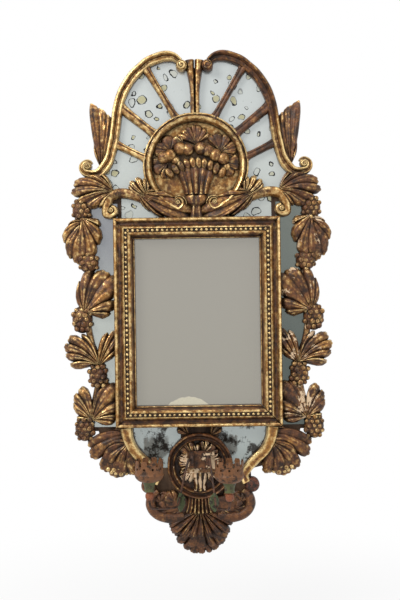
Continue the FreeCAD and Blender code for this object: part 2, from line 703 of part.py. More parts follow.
def lower_scroll_points():
    """The line of the lower left scroll, from its eye round to the shell."""
    shape = ((-92.0, 133.0), (-98.0, 145.0), (-98.0, 161.0), (-92.0, 173.0), (-78.0, 182.0), (-54.0, 187.0))
    return [(x, FRAME_BOTTOM - z) for x, z in shape]


def lower_scroll_left():
    """The C-scroll low on the left of the apron, with the carved ground inside it."""
    band = rail(lower_scroll_points(), 12, 9.0, SCROLL_HEIGHT, end_width=6.0)
    ground = relief([(points, height) for points, height in (
        (lower_ground(), 0.0), (lower_ground(), 8.0), (shrunk(lower_ground(), 0.7), 12.0))])
    return band.fuse(ground)


def lower_ground():
    """The outline of the ground inside the lower scroll."""
    shape = ((-94.0, 138.0), (-94.0, 160.0), (-84.0, 176.0), (-56.0, 182.0), (-30.0, 180.0), (-30.0, 146.0),
             (-50.0, 140.0), (-74.0, 132.0))
    return [(x, FRAME_BOTTOM - z) for x, z in shape]


def apron_carving():
    """The worn basket carving on the apron medallion: a flat-faced core with leaves round it."""
    core = slab([(-30.0, APRON_CENTRE - 14.0), (30.0, APRON_CENTRE - 14.0), (30.0, APRON_CENTRE + 30.0),
                 (-30.0, APRON_CENTRE + 30.0)], APRON_FLOOR, APRON_CARVING_HEIGHT)
    leaves = []
    for angle in (-100.0, -60.0, 60.0, 100.0):
        stem_at = (-20.0 * math.sin(math.radians(angle)), APRON_CENTRE + 6.0)
        leaves.append(acanthus(stem_at, angle, 30.0, 20.0, 1, 0.1, 16.0, APRON_FLOOR))
    foot = fluted([(APRON_CENTRE - 13.0, 26.0, 0.8), (APRON_CENTRE - 36.0, 17.0, 0.9),
                   (APRON_CENTRE - 49.0, 19.0, 1.0)], 2, APRON_CARVING_HEIGHT - APRON_FLOOR, APRON_FLOOR)
    return core.multiFuse(leaves + [foot])


def apron_flutes():
    """The fluted collar between the apron medallion and the shell."""
    top = APRON_CENTRE - APRON_MEDALLION_RADIUS - 1.0
    stations = [(top, 27.0, 0.8), (SHELL_TOP + 12.0, 30.0, 1.0), (SHELL_TOP + 0.5, 32.0, 0.85)]
    return fluted(stations, 5, SHELL_HEIGHT)


def shell():
    """The scalloped shell that hangs at the foot of the mirror."""
    half = SHELL_HALF_WIDTH
    outline_shares = ((0.0, 0.7, 0.7), (0.14, 1.0, 0.95), (0.32, 1.0, 1.0), (0.46, 0.88, 0.95),
                      (0.58, 0.68, 0.85), (0.74, 0.61, 0.9), (0.87, 0.42, 0.8), (1.0, 0.14, 0.45))
    stations = [(SHELL_TOP - SHELL_LENGTH * share, half * width, rise)
                for share, width, rise in outline_shares]
    return fluted(stations, 7, SHELL_HEIGHT)


def build_apron(frame, garland):
    """Everything carved below the frame."""
    bottom = frame["frame_rail_bottom"]
    disc = apron_dish()
    carving = clear_of(apron_carving(), disc)
    scroll = clear_of(apron_scroll_left(), bottom, disc)
    leaf = clear_of(apron_leaf_left(), scroll, bottom, frame["frame_stile_left"], garland)
    collar = clear_of(apron_flutes(), disc)
    lower = clear_of(lower_scroll_left(), disc, scroll, collar)
    foot = clear_of(shell(), collar, lower, mirrored(lower))
    return {
        "apron_medallion": disc,
        "apron_carving": carving,
        "apron_collar": collar,
        "apron_scroll_left": scroll,
        "apron_scroll_right": mirrored(scroll),
        "apron_leaf_left": leaf,
        "apron_leaf_right": mirrored(leaf),
        "lower_scroll_left": lower,
        "lower_scroll_right": mirrored(lower),
        "shell_pendant": foot,
    }


# ------------------------------------------------------------------ plates and the boards they are let into
def bay_outline(first, last):
    """One bay of the fan, from the medallion's rim to the arch, between the lines of two ribs."""
    inner = MEDALLION_RADIUS - PLATE_COVER
    near, far = [[start + (end - start) * k / 3 for k in range(4)] for start, end in zip(first, last)]
    rim = [from_crest(inner, angle) for angle in near]
    return rim + [from_crest(arch_reach(angle) - 2.0, angle) for angle in reversed(far)]


def crest_recesses():
    """Outlines of the five plate recesses in the left half of the crest."""
    gap = 0.6  # degrees of wood left between neighbouring recesses, on each side of a rib's axis
    lines = ((0.0, 0.0),) + RIB_LINES
    bays = [bay_outline([angle + gap for angle in first], [angle - gap for angle in last])
            for first, last in zip(lines, lines[1:])]
    rim = MEDALLION_RADIUS - PLATE_COVER
    near_angle, far_angle = [angle + gap for angle in RIB_LINES[-1]]
    near = from_crest(rim, near_angle)
    far = from_crest(arch_reach(far_angle) - 2.0, far_angle)
    bays.append([near, far, (-172.0, CREST_CENTRE + 10.0), (-192.0, CREST_CENTRE - 8.0),
                 (-178.0, CREST_CENTRE - 50.0), (-rim + 12.0, CREST_CENTRE - 50.0), (-rim, CREST_CENTRE)])
    outer = -JOINT_SIDE + PLATE_COVER / 2
    bays.append([(outer, FRAME_TOP - PLATE_COVER), (outer, CREST_CENTRE - 64.0),
                 (-110.0, CREST_CENTRE - 60.0), (-70.0, CREST_CENTRE - 78.0),
                 (-48.0, FRAME_TOP - PLATE_COVER)])
    return bays


def side_board_outline():
    """The left side board: straight beside the main plate, and following the garland outside."""
    line = [(x, z) for x, z in garland_line() if SIDE_BOTTOM < z < SIDE_TOP]
    return [(-JOINT_SIDE, SIDE_TOP), (line[0][0], SIDE_TOP)] + line + [(line[-1][0], SIDE_BOTTOM),
                                                                      (-JOINT_SIDE, SIDE_BOTTOM)]


def side_recess():
    """The left side plate's recess, inside the board's edge."""
    line = [(x + PLATE_COVER, z) for x, z in garland_line() if SIDE_BOTTOM < z < SIDE_TOP]
    inner = -FRAME_SIDE + PLATE_COVER
    return [(inner, SIDE_TOP - PLATE_COVER), (line[0][0], SIDE_TOP - PLATE_COVER)] + line[:-1] + [
        (line[-1][0], SIDE_BOTTOM + PLATE_COVER), (inner, SIDE_BOTTOM + PLATE_COVER)]


def crest_board_outline():
    """The left half of the crest board, edged by the middle of the arch band."""
    edge = [(-JOINT_SIDE, JOINT_TOP), (-JOINT_SIDE, SIDE_TOP), (-214.0, SIDE_TOP),
            (-214.0, CREST_CENTRE - 44.0), (-204.0, CREST_CENTRE - 14.0), (-187.0, CREST_CENTRE - 6.0)]
    return [(0.0, JOINT_TOP)] + edge + arch_points() + [(-CENTRE_RIB_HEAD, CREST_CENTRE + 206.0),
                                                        (0.0, CREST_CENTRE + 198.0)]


def apron_board_outline():
    """The apron board, edged by the middle of the scrolls and the shell."""
    left = [(-JOINT_SIDE, JOINT_BOTTOM), (-JOINT_SIDE, SIDE_BOTTOM), (-204.0, SIDE_BOTTOM),
            (-196.0, FRAME_BOTTOM - 40.0), (-174.0, FRAME_BOTTOM - 74.0), (-146.0, FRAME_BOTTOM - 78.0),
            (-102.0, FRAME_BOTTOM - 88.0), APRON_EYE]
    left += lower_scroll_points()[2:-1]
    left += [(-46.0, SHELL_TOP - 0.3 * SHELL_LENGTH), (-30.0, SHELL_TOP - 0.7 * SHELL_LENGTH),
             (-8.0, SHELL_TOP - 0.92 * SHELL_LENGTH)]
    return left + [(-x, z) for x, z in reversed(left)]


def apron_recess():
    """The left apron plate's recess."""
    top = FRAME_BOTTOM + PLATE_COVER
    low = ((-140.0, 28.0), (-127.0, 52.0), (-92.0, 84.0), (-58.0, 84.0), (-55.0, 50.0), (-38.0, 28.0))
    return [(-144.0, top)] + [(x, FRAME_BOTTOM - below) for x, below in low] + [(-38.0, top)]


def main_recess():
    """The main plate's recess, behind the frame."""
    half = FRAME_SIDE - MOULDING_WIDTH + PLATE_COVER
    top = FRAME_TOP - MOULDING_WIDTH + PLATE_COVER
    bottom = FRAME_BOTTOM + MOULDING_WIDTH - PLATE_COVER
    return [(-half, bottom), (half, bottom), (half, top), (-half, top)]


def nail_spots():
    """Where the battens are nailed to the boards, as (x, z)."""
    rows = (JOINT_TOP + BATTEN_HEIGHT / 4, JOINT_TOP - BATTEN_HEIGHT / 4, 0.0,
            JOINT_BOTTOM + BATTEN_HEIGHT / 4, JOINT_BOTTOM - BATTEN_HEIGHT / 4)
    reach = BATTEN_LENGTH / 2
    spots = [(x, z) for z in rows for x in (-0.45 * reach, 0.45 * reach)]
    return spots + [(x, z) for z in (JOINT_TOP, 0.0, JOINT_BOTTOM) for x in (-0.92 * reach, 0.92 * reach)]


def nail(x, z, play=0.0):
    """A square forged nail that tapers from its head, driven in from the wall side and let in flush."""
    rings = []
    for depth, wide in ((0.0, NAIL_HEAD), (-NAIL_LENGTH, NAIL_POINT)):
        half = wide / 2 + play
        rings.append([Vector(x - half, depth, z - half), Vector(x + half, depth, z - half),
                      Vector(x + half, depth, z + half), Vector(x - half, depth, z + half)])
    return skinned(rings)


def board(points, recesses):
    """A ground board with plate recesses sunk in its face."""
    plank = slab(points, -BOARD_THICKNESS, 0.0)
    cutters = [slab(recess, PLATE_BACK, 1.0) for recess in recesses]
    return plank.cut(cutters) if cutters else plank


def plate(recess):
    """A mirror plate that drops into a recess."""
    return slab(inset(recess, PLATE_PLAY), PLATE_BACK, 0.0)


def batten(level):
    """A batten across the back, centred on a level."""
    return Part.makeBox(BATTEN_LENGTH, BATTEN_THICKNESS, BATTEN_HEIGHT,
                        Vector(-BATTEN_LENGTH / 2, -BATTEN_THICKNESS, level - BATTEN_HEIGHT / 2))


def flipped(points):
    """The outline on the other side of the middle."""
    return [(-x, z) for x, z in points]


def build_ground():
    """Boards, battens, plates and nails."""
    crest = crest_recesses()
    centre = [(-JOINT_SIDE, JOINT_BOTTOM), (JOINT_SIDE, JOINT_BOTTOM), (JOINT_SIDE, JOINT_TOP),
              (-JOINT_SIDE, JOINT_TOP)]
    boards = {
        "crest_board_left": board(crest_board_outline(), crest),
        "crest_board_right": board(flipped(crest_board_outline()), [flipped(p) for p in crest]),
        "side_board_left": board(side_board_outline(), [side_recess()]),
        "side_board_right": board(flipped(side_board_outline()), [flipped(side_recess())]),
        "centre_board": board(centre, [main_recess()]),
        "apron_board": board(apron_board_outline(), [apron_recess(), flipped(apron_recess())]),
        "battens": Part.makeCompound([batten(level) for level in (JOINT_TOP, 0.0, JOINT_BOTTOM)]),
    }
    holes = Part.makeCompound([nail(x, z, NAIL_PLAY) for x, z in nail_spots()])
    pieces = {name: shape.cut(holes) for name, shape in boards.items()}
    pieces["batten_nails"] = Part.makeCompound([nail(x, z) for x, z in nail_spots()])
    pieces["mirror_plate"] = plate(main_recess())
    pieces["side_plate_left"] = plate(side_recess())
    pieces["side_plate_right"] = plate(flipped(side_recess()))
    pieces["apron_plates"] = Part.makeCompound([plate(apron_recess()), plate(flipped(apron_recess()))])
    both = crest + [flipped(points) for points in crest]
    pieces["crest_plates"] = Part.makeCompound([plate(points) for points in both])
    return pieces


# ------------------------------------------------------------------ hanging ring
def wire_along(stations, radius, facets):
    """A faceted wire through (place, direction, side) stations: side is square to the direction."""
    rings = []
    for place, along, side in stations:
        other = along.cross(side)
        rings.append([place + side * (radius * math.cos(2 * math.pi * (k + 0.5) / facets))
                      + other * (radius * math.sin(2 * math.pi * (k + 0.5) / facets)) for k in range(facets)])
    return rings


def build_hanger(boards):
    """The iron ring behind the crest and the staple that holds it."""
    level = FRAME_TOP + RING_RISE
    axis_y = BOARD_BACK + STAPLE_EYE + 1.0
    across, out, up = Vector(1, 0, 0), Vector(0, 1, 0), Vector(0, 0, 1)
    middle = Vector(0, axis_y, level - RING_RADIUS)
    stations = []
    for k in range(RING_STEPS):
        around = 2 * math.pi * k / RING_STEPS
        spoke = across * math.sin(around) + up * math.cos(around)
        stations.append((middle + spoke * RING_RADIUS, spoke.cross(out), out))
    rings = wire_along(stations, RING_WIRE, WIRE_FACETS)
    half = RING_STEPS // 2
    ring = skinned(rings[:half + 1]).fuse(skinned(rings[half:] + rings[:1]))
    bow = STAPLE_EYE + STAPLE_WIRE
    stations = [(Vector(0, axis_y - STAPLE_LEG, level + bow), out, across)]
    for k in range(7):
        around = math.pi * k / 6
        spoke = up * math.cos(around) + out * math.sin(around)
        stations.append((Vector(0, axis_y, level) + spoke * bow, across.cross(spoke) * -1.0, across))
    stations.append((Vector(0, axis_y - STAPLE_LEG, level - bow), out * -1.0, across))
    staple = skinned(wire_along(stations, STAPLE_WIRE, 6))
    left_end = Vector(-2 * STAPLE_WIRE, axis_y, level)
    eye = Part.makeCylinder(STAPLE_EYE + STAPLE_ROUNDING, 4 * STAPLE_WIRE, left_end, across)
    staple = staple.cut(eye)
    for name in ("crest_board_left", "crest_board_right"):
        boards[name] = boards[name].cut(staple)
    return {"hanging_staple": staple, "hanging_ring": ring}


# ------------------------------------------------------------------ candle arms
def upright(radius, low, high, x):
    """A true round rod on the axis of a pin, between two levels."""
    return Part.makeCylinder(radius, high - low, at(x, PIVOT_HEIGHT, low))


def round_rod(x, radius, low, high):
    """A faceted rod on the axis of a pin, between two levels."""
    rod = skinned([round_of(0.0, radius, level, 8) for level in (low, high)])
    rod.translate(at(x, PIVOT_HEIGHT, 0.0))
    return rod


def build_bracket():
    """The iron plate with two pairs of lugs, and its two pins."""
    plate_low = PIVOT_LEVEL - BRACKET_HEIGHT / 2
    plate_high = plate_low + BRACKET_HEIGHT
    half = BRACKET_WIDTH / 2
    bracket = slab([(-half, plate_low), (half, plate_low), (half, plate_high), (-half, plate_high)],
                   BRACKET_BACK, BRACKET_FACE)
    reach = SLEEVE_LENGTH / 2 + SLEEVE_END_PLAY
    pins = []
    for x in (-PIVOT_OUT, PIVOT_OUT):
        for low in (PIVOT_LEVEL + reach, PIVOT_LEVEL - reach - LUG_THICKNESS):
            web = slab([(x - LUG_RADIUS, low), (x + LUG_RADIUS, low), (x + LUG_RADIUS, low + LUG_THICKNESS),
                        (x - LUG_RADIUS, low + LUG_THICKNESS)], BRACKET_FACE, PIVOT_HEIGHT)
            nose = round_rod(x, LUG_RADIUS, low, low + LUG_THICKNESS)
            bracket = bracket.multiFuse([web, nose])
        low, high = PIVOT_LEVEL - reach - LUG_THICKNESS, PIVOT_LEVEL + reach + LUG_THICKNESS
        bracket = bracket.cut(upright(PIN_RADIUS + PIN_FIT, low - 1, high + 1, x))
        pin = upright(PIN_RADIUS, low, high, x)
        cap = round_rod(x, PIN_RADIUS + 1.5, high, high + 2.0)
        pins.append(pin.fuse(cap))
    return {"arm_bracket": bracket, "pivot_pins": Part.makeCompound(pins)}


def arm_frame(side, angle):
    """How an arm that is drawn pointing along +X from the origin is set on its pin."""
    x = -PIVOT_OUT if side == "left" else PIVOT_OUT
    heading = -90.0 - angle if side == "left" else -90.0 + angle
    turn = FreeCAD.Rotation(Vector(0, 0, 1), heading)
    return FreeCAD.Placement(at(x, PIVOT_HEIGHT, PIVOT_LEVEL), turn)


def arm_corners():
    """Corners of the wire of an arm drawn along +X with its pin at the origin, and the bends between."""
    top = crown_foot_level() + CROWN_WALL + NOZZLE_BASE - WIRE_END_RECESS
    corners = [(LUG_RADIUS - 2.0, 2.0), (ARM_ELBOW, 2.0), (ARM_LOW_REACH, -ARM_DIP),
               (ARM_REACH, -ARM_END_DIP), (ARM_REACH, top)]
    return [Vector(x, 0, z) for x, z in corners], (ELBOW_BEND, INNER_BEND, OUTER_BEND)


def arm_wire():
    """The wrought wire of one arm with its sleeve."""
    sleeve = prism(0.0, LUG_RADIUS - 0.5, -SLEEVE_LENGTH / 2, SLEEVE_LENGTH / 2)
    side = Vector(0, 1, 0)
    stations = [(place, along, side) for place, along in bent_path(*arm_corners())]
    wire = skinned(wire_along(stations, WIRE_RADIUS, WIRE_FACETS))
    bore = Part.makeCylinder(PIN_RADIUS + PIN_FIT, SLEEVE_LENGTH + 2, Vector(0, 0, -SLEEVE_LENGTH / 2 - 1))
    return sleeve.fuse(wire).cut(bore)


def prism(x, radius, low, high, facets=TURNED_FACETS):
    """An upright faceted rod."""
    return skinned([round_of(x, radius, level, facets) for level in (low, high)])


def round_of(x, radius, level, facets=TURNED_FACETS):
    """A level ring of points round an upright axis."""
    return [Vector(x + radius * math.cos(2 * math.pi * (k + 0.5) / facets),
                   radius * math.sin(2 * math.pi * (k + 0.5) / facets), level) for k in range(facets)]


def bent_path(corners, bends, steps=3):
    """(place, direction) stations along straight runs that are joined by bends of given radii."""
    runs = [(after - before).normalize() for before, after in zip(corners, corners[1:])]
    stations = [(corners[0], runs[0])]
    for corner, into, out, radius in zip(corners[1:], runs, runs[1:], bends):
        turn = math.acos(max(-1.0, min(1.0, into.dot(out))))
        start = corner - into * (radius * math.tan(turn / 2))
        inward = (out - into * into.dot(out)).normalize()
        for k in range(steps + 1):
            angle = turn * k / steps
            place = start + into * (radius * math.sin(angle)) + inward * (radius * (1.0 - math.cos(angle)))
            stations.append((place, into * math.cos(angle) + inward * math.sin(angle)))
    stations.append((corners[-1], runs[-1]))
    return stations


def turned_on_arm(section):
    """A turned piece on the arm's end, from (radius, level) points, with a hole for the wire."""
    body = skinned([round_of(ARM_REACH, radius, level) for radius, level in section])
    return body.cut(wire_hole(section[0][1] - 1.0, section[-1][1] + 1.0))


def wire_hole(low, high):
    """What the upright end of the wire takes out of a piece that is threaded on it."""
    up, side = Vector(0, 0, 1), Vector(0, 1, 0)
    stations = [(Vector(ARM_REACH, 0, level), up, side) for level in (low, high)]
    return skinned(wire_along(stations, WIRE_RADIUS + PIN_FIT, WIRE_FACETS))


def knob_level():
    """The knob's underside, below the middle of the sleeve."""
    return -KNOB_BELOW_PIVOT


def crown_foot_level():
    """The underside of the crown, on top of the stem."""
    return knob_level() + KNOB_LENGTH + STEM_LENGTH


def knob():
    """The turned ball under the stem."""
    low, r, length = knob_level(), KNOB_RADIUS, KNOB_LENGTH
    return turned_on_arm([(0.6 * r, low), (0.9 * r, low + 0.2 * length), (r, low + 0.5 * length),
                          (0.9 * r, low + 0.8 * length), (0.7 * r, low + length)])


def stem():
    """The flared wooden stem that carries the crown."""
    low = knob_level() + KNOB_LENGTH
    return turned_on_arm([(STEM_BOTTOM_RADIUS, low), (STEM_BOTTOM_RADIUS * 1.06, low + 0.35 * STEM_LENGTH),
                          (STEM_TOP_RADIUS * 0.92, low + 0.8 * STEM_LENGTH),
                          (STEM_TOP_RADIUS, low + STEM_LENGTH)])


def crown():
    """The sheet-metal drip crown: a bowl whose upper edge is cut into points and pierced."""
    foot = crown_foot_level()
    belly, rim = foot + CROWN_BOWL_LENGTH, foot + CROWN_LENGTH
    sections = ((CROWN_FOOT_RADIUS, foot), (CROWN_BELLY_RADIUS * 0.86, foot + CROWN_BOWL_LENGTH * 0.35),
                (CROWN_BELLY_RADIUS, belly), (CROWN_RIM_RADIUS, rim))
    outside = skinned([round_of(ARM_REACH, r, z, CROWN_FACETS) for r, z in sections])
    lifted = [(r - CROWN_WALL, z + (CROWN_WALL if z == foot else 0.0) + (1.0 if z == rim else 0.0))
              for r, z in sections]
    inside = skinned([round_of(ARM_REACH, r, z, CROWN_FACETS) for r, z in lifted])
    cutters = [inside, wire_hole(foot - CROWN_WALL, foot + 2 * CROWN_WALL)]
    spread = 360.0 / CROWN_POINTS
    half = CROWN_RIM_RADIUS * math.tan(math.radians(spread * 0.34))
    notch = ((-half, 1.0), (half, 1.0), (0.0, -CROWN_NOTCH_DEPTH))
    hole = [(CROWN_HOLE_RADIUS * math.cos(math.pi * k / 2), CROWN_HOLE_RADIUS * math.sin(math.pi * k / 2))
            for k in range(4)]
    for k in range(CROWN_POINTS):
        cutters.append(radial_cutter(notch, rim, spread * k))
        cutters.append(radial_cutter(hole, belly + 7.0, spread * (k + 0.5)))
    return outside.cut(cutters)


def radial_cutter(points, level, angle):
    """A cutter with that outline, (across, up) from a level, that runs outwards through the crown's wall."""
    cutter = facet([Vector(0, across, level + up) for across, up in points])
    cutter = cutter.extrude(Vector(CROWN_RIM_RADIUS + 5, 0, 0))
    cutter.rotate(Vector(0, 0, 0), Vector(0, 0, 1), angle)
    cutter.translate(Vector(ARM_REACH, 0, 0))
    return cutter


def nozzle():
    """The candle socket that stands in the crown."""
    low = crown_foot_level() + CROWN_WALL
    high = low + NOZZLE_BASE + NOZZLE_DEPTH
    body = prism(ARM_REACH, NOZZLE_BORE_RADIUS + NOZZLE_WALL, low, high, CROWN_FACETS)
    bore = Part.makeCylinder(NOZZLE_BORE_RADIUS, NOZZLE_DEPTH, Vector(ARM_REACH, 0, low + NOZZLE_BASE))
    return body.cut([bore, wire_hole(low - 1.0, low + NOZZLE_BASE + 1.0)])


def arm_leaf():
    """The painted tin leaf on the arm: a collar round the wire and a folded blade."""
    corners, _ = arm_corners()
    along = (corners[2] - corners[1]).normalize()
    base = corners[1] + along * LEAF_ALONG_ARM
    side = Vector(0, 1, 0)
    collar = skinned(wire_along([(base, along, side), (base + along * 7.0, along, side)], WIRE_RADIUS + 1.2,
                                WIRE_FACETS))
    hole = skinned(wire_along([(base - along, along, side), (base + along * 8.0, along, side)],
                              WIRE_RADIUS + PIN_FIT, WIRE_FACETS))
    under = Vector(along.z, 0, -along.x)
    rings = []
    for reach, half, lift in ((1.0, 2.0, 2.9), (8.0, 8.0, 4.0), (17.0, 10.5, 6.5), (27.0, 6.0, 9.5),
                              (34.0, 1.0, 12.0)):
        middle = base + along * reach + under * lift
        fold = under * (0.35 * half)
        edge = [middle + side * half + fold, middle, middle - side * half + fold]
        rings.append(edge + [corner + under * CROWN_WALL for corner in reversed(edge)])
    return collar.fuse(skinned(rings)).cut(hole)


def build_arms():
    """Both candle arms, swung outwards as they rest."""
    pieces = {}
    drawn = {"candle_arm": arm_wire(), "arm_leaf": arm_leaf(), "arm_knob": knob(), "candle_stem": stem(),
             "drip_crown": crown(), "candle_nozzle": nozzle()}
    for side, angle in (("left", ARM_LEFT_ANGLE), ("right", ARM_RIGHT_ANGLE)):
        place = arm_frame(side, angle)
        for name, shape in drawn.items():
            copy = shape.copy()
            copy.Placement = place.multiply(copy.Placement)
            pieces[name + "_" + side] = copy
    return pieces


# ------------------------------------------------------------------ the whole mirror
def build_mirror():
    """Every piece of the mirror, by name."""
    pieces = build_frame()
    frame = dict(pieces)
    pieces["frame_beading"] = Part.makeCompound([bead_string(*side) for side in frame_sides().values()])
    crest = build_crest(frame)
    garland = garland_left(frame, crest["crest_corner_leaf_left"], crest["crest_scroll_left"])
    pieces.update(crest)
    pieces["garland_left"] = garland
    pieces["garland_right"] = mirrored(garland)
    pieces.update(build_apron(frame, garland))
    ground = build_ground()
    pieces.update(build_hanger(ground))
    pieces.update(ground)
    pieces.update(build_bracket())
    pieces.update(build_arms())
    return pieces


def main():
    """Writes one STEP file for each piece and prints what each holds."""
    os.makedirs("parts", exist_ok=True)
    for old in os.listdir("parts"):
        os.remove(os.path.join("parts", old))
    for name, shape in build_mirror().items():
        shape.exportStep(os.path.join("parts", name + ".step"))
        volume = round(shape.Volume / 1000, 2)
        print(name, "solids", len(shape.Solids), "valid", shape.isValid(), "cm3", volume)


main()
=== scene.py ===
"""Looks of the giltwood girandole mirror: carved and gilded pieces, old mirror plates and two candle arms.

Lengths are millimetres until a mesh is made, and angles are degrees from upright, turning anticlockwise
as seen from the front. A height is how far something stands in front of the boards' face.
Every carved form is a stack of closed loops of points, worked out as one array and closed at its ends.
"""
import json
import logging
import math
from dataclasses import dataclass, field
from enum import Enum
from typing import Sequence

import bmesh
import bpy
import numpy as np
from mathutils import Matrix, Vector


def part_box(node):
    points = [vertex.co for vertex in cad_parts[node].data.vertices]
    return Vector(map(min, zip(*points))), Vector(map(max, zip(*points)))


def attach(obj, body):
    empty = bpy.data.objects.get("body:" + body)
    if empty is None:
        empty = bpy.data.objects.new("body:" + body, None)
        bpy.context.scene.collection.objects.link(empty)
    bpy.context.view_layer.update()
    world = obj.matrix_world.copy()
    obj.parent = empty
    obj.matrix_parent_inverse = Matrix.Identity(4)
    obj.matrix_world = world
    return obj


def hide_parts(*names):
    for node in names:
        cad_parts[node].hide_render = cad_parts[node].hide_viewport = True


LOG = logging.getLogger("girandole")
MM = 0.001
Array = np.ndarray
Triple = tuple[float, float, float]
Paint = tuple[float, float, float, float]
Input = bpy.types.NodeSocket | float | Triple | Paint

HAND = 0.5  # how far a carver's hand strays
LEAF_ROWS = 24  # places from a leaf's stem to its rim
LOBE_PLACES = 14  # places across each lobe or flute
OVERCUT = 1.06  # a leaf is cut this much past its outline, since the bites take some away
CREASE = 42.0  # edges sharper than this stay sharp
HOLLOW_GAIN = 4.0  # how strongly a bend in the surface counts as hollow or raised
HOLLOW_STEP = 0.0018  # spacing of points, in metres, at which a bend counts in full

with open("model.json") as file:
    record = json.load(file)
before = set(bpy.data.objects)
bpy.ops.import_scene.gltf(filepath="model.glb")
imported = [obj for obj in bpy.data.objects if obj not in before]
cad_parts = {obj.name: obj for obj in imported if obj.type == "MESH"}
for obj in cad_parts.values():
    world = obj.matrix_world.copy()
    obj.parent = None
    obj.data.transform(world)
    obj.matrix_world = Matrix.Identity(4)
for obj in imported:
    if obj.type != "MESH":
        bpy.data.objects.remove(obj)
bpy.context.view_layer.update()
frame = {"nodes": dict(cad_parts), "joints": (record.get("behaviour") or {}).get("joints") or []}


def box_mm(node: str) -> tuple[Array, Array]:
    """Gives the lowest and highest corner of a node at rest.

    Args:
        node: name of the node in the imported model.

    Returns:
        Both corners, in millimetres.
    """
    low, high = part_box(node)
    return np.array(low) / MM, np.array(high) / MM


BOARD_FACE = float(box_mm("centre_board")[0][1])
FRAME_LOW, FRAME_HIGH = box_mm("frame_rail_bottom")[0], box_mm("frame_rail_top")[1]
FRAME_SIDE = float(FRAME_HIGH[0])
FRAME_TOP = float(FRAME_HIGH[2])
FRAME_BOTTOM = float(FRAME_LOW[2])
CREST_CENTRE = float(np.mean([corner[2] for corner in box_mm("crest_disc")]))
APRON_CENTRE = float(np.mean([corner[2] for corner in box_mm("apron_medallion")]))
SHELL_TOP = float(box_mm("shell_pendant")[1][2])


class Body(Enum):
    """The rigid bodies that pieces ride on."""

    MIRROR = "mirror"
    ARM_LEFT = "arm_left"
    ARM_RIGHT = "arm_right"
    RING = "ring"


class Slot(Enum):
    """The record's finishes of the pieces modelled here."""

    GILDED = "gilded_wood"
    IRON = "wrought_iron"
    SALMON = "salmon_tin"
    GREEN_TIN = "green_tin"
    SOCKET = "socket_tin"
    GREEN_WOOD = "green_wood"
    RED_WOOD = "red_wood"


# ------------------------------------------------------------------ curves and sections
def at(x: Array | float, height: Array | float, z: Array | float) -> Array:
    """Places points in front of the boards' face.

    Args:
        x: distance to the right of the middle.
        height: distance in front of the boards' face.
        z: level.

    Returns:
        An array of points whose last axis is x, y, z.
    """
    x, height, z = np.broadcast_arrays(x, height, z)
    return np.stack([x, BOARD_FACE - height, z], axis=-1).astype(float)


def heading(angle: Array | float) -> Array:
    """Gives the unit (x, z) direction of an angle from upright, anticlockwise."""
    turn = np.radians(angle)
    return np.stack([-np.sin(turn), np.cos(turn)], axis=-1)


def full_turn(count: int) -> Array:
    """Gives angles spread evenly once round, in radians."""
    return np.linspace(0.0, 2 * math.pi, count, endpoint=False)


def unit(rows: Array) -> Array:
    """Gives each row its direction at a length of one."""
    return rows / np.linalg.norm(rows, axis=1, keepdims=True)


def flow(points: Sequence[Sequence[float]], count: int) -> Array:
    """Runs a smooth curve through points: each stretch is the cubic whose slope at a point is half
    the way from the point before to the point after, and places are spread evenly by length.

    Args:
        points: the points to pass through.
        count: how many places to give.

    Returns:
        The places, one row each.
    """
    knots = np.asarray(points, float)
    ends = np.vstack([2 * knots[0] - knots[1], knots, 2 * knots[-1] - knots[-2]])
    place = np.linspace(0.0, len(knots) - 1, 24 * len(knots))
    first = np.minimum(place.astype(int), len(knots) - 2)
    t = (place - first)[:, None]
    a, b, c, d = (ends[first + k] for k in range(4))
    curve = 0.5 * (2 * b + (c - a) * t + (2 * a - 5 * b + 4 * c - d) * t**2 + (3 * b - a - 3 * c + d) * t**3)
    length = np.concatenate([[0.0], np.cumsum(np.linalg.norm(np.diff(curve, axis=0), axis=1))])
    wanted = np.linspace(0.0, length[-1], count)
    return np.stack([np.interp(wanted, length, curve[:, axis]) for axis in range(curve.shape[1])], axis=1)


def winding(centre: Sequence[float], start: float, turn: float, inner: float, outer: float, count: int) -> Array:
    """Winds outwards round a centre: the reach grows evenly with the angle.

    Args:
        centre: the eye of the scroll, (x, z).
        start: first angle, anticlockwise from the right.
        turn: how far it winds.
        inner: reach at the start.
        outer: reach at the end.
        count: number of points.

    Returns:
        The (x, z) points.
    """
    share = np.linspace(0.0, 1.0, count)
    around = np.radians(start + turn * share)
    reach = inner + (outer - inner) * share
    return np.stack([centre[0] + reach * np.cos(around), centre[1] + reach * np.sin(around)], axis=1)


def moulded(runs: Sequence[Sequence[tuple[float, float]]], count: int = 6) -> Array:
    """Joins smooth runs into one section with sharp corners where the runs meet.

    Args:
        runs: lists of (across, height) points; a run of two points is straight.
        count: places on each curved run.

    Returns:
        The section's (across, height) points.
    """
    parts = [np.asarray(run, float) if len(run) == 2 else flow(run, count) for run in runs]
    return np.vstack(parts)


def unsteady(points: Array, amount: float, seed: int) -> Array:
    """Moves points a little, as a carver's hand does: three slow sine waves in each direction,
    whose phases come from the seed.

    Args:
        points: the points.
        amount: largest move, roughly.
        seed: fixes the phases.

    Returns:
        The moved points.
    """
    rng = np.random.default_rng(seed)
    phase = rng.uniform(0.0, 2 * math.pi, (3, 3))
    pace = rng.uniform(0.05, 0.16, (3, 3, 3))
    moved = points.copy()
    for wave in range(3):
        moved += amount / 3 * np.sin(points @ pace[wave] + phase[wave])
    return moved


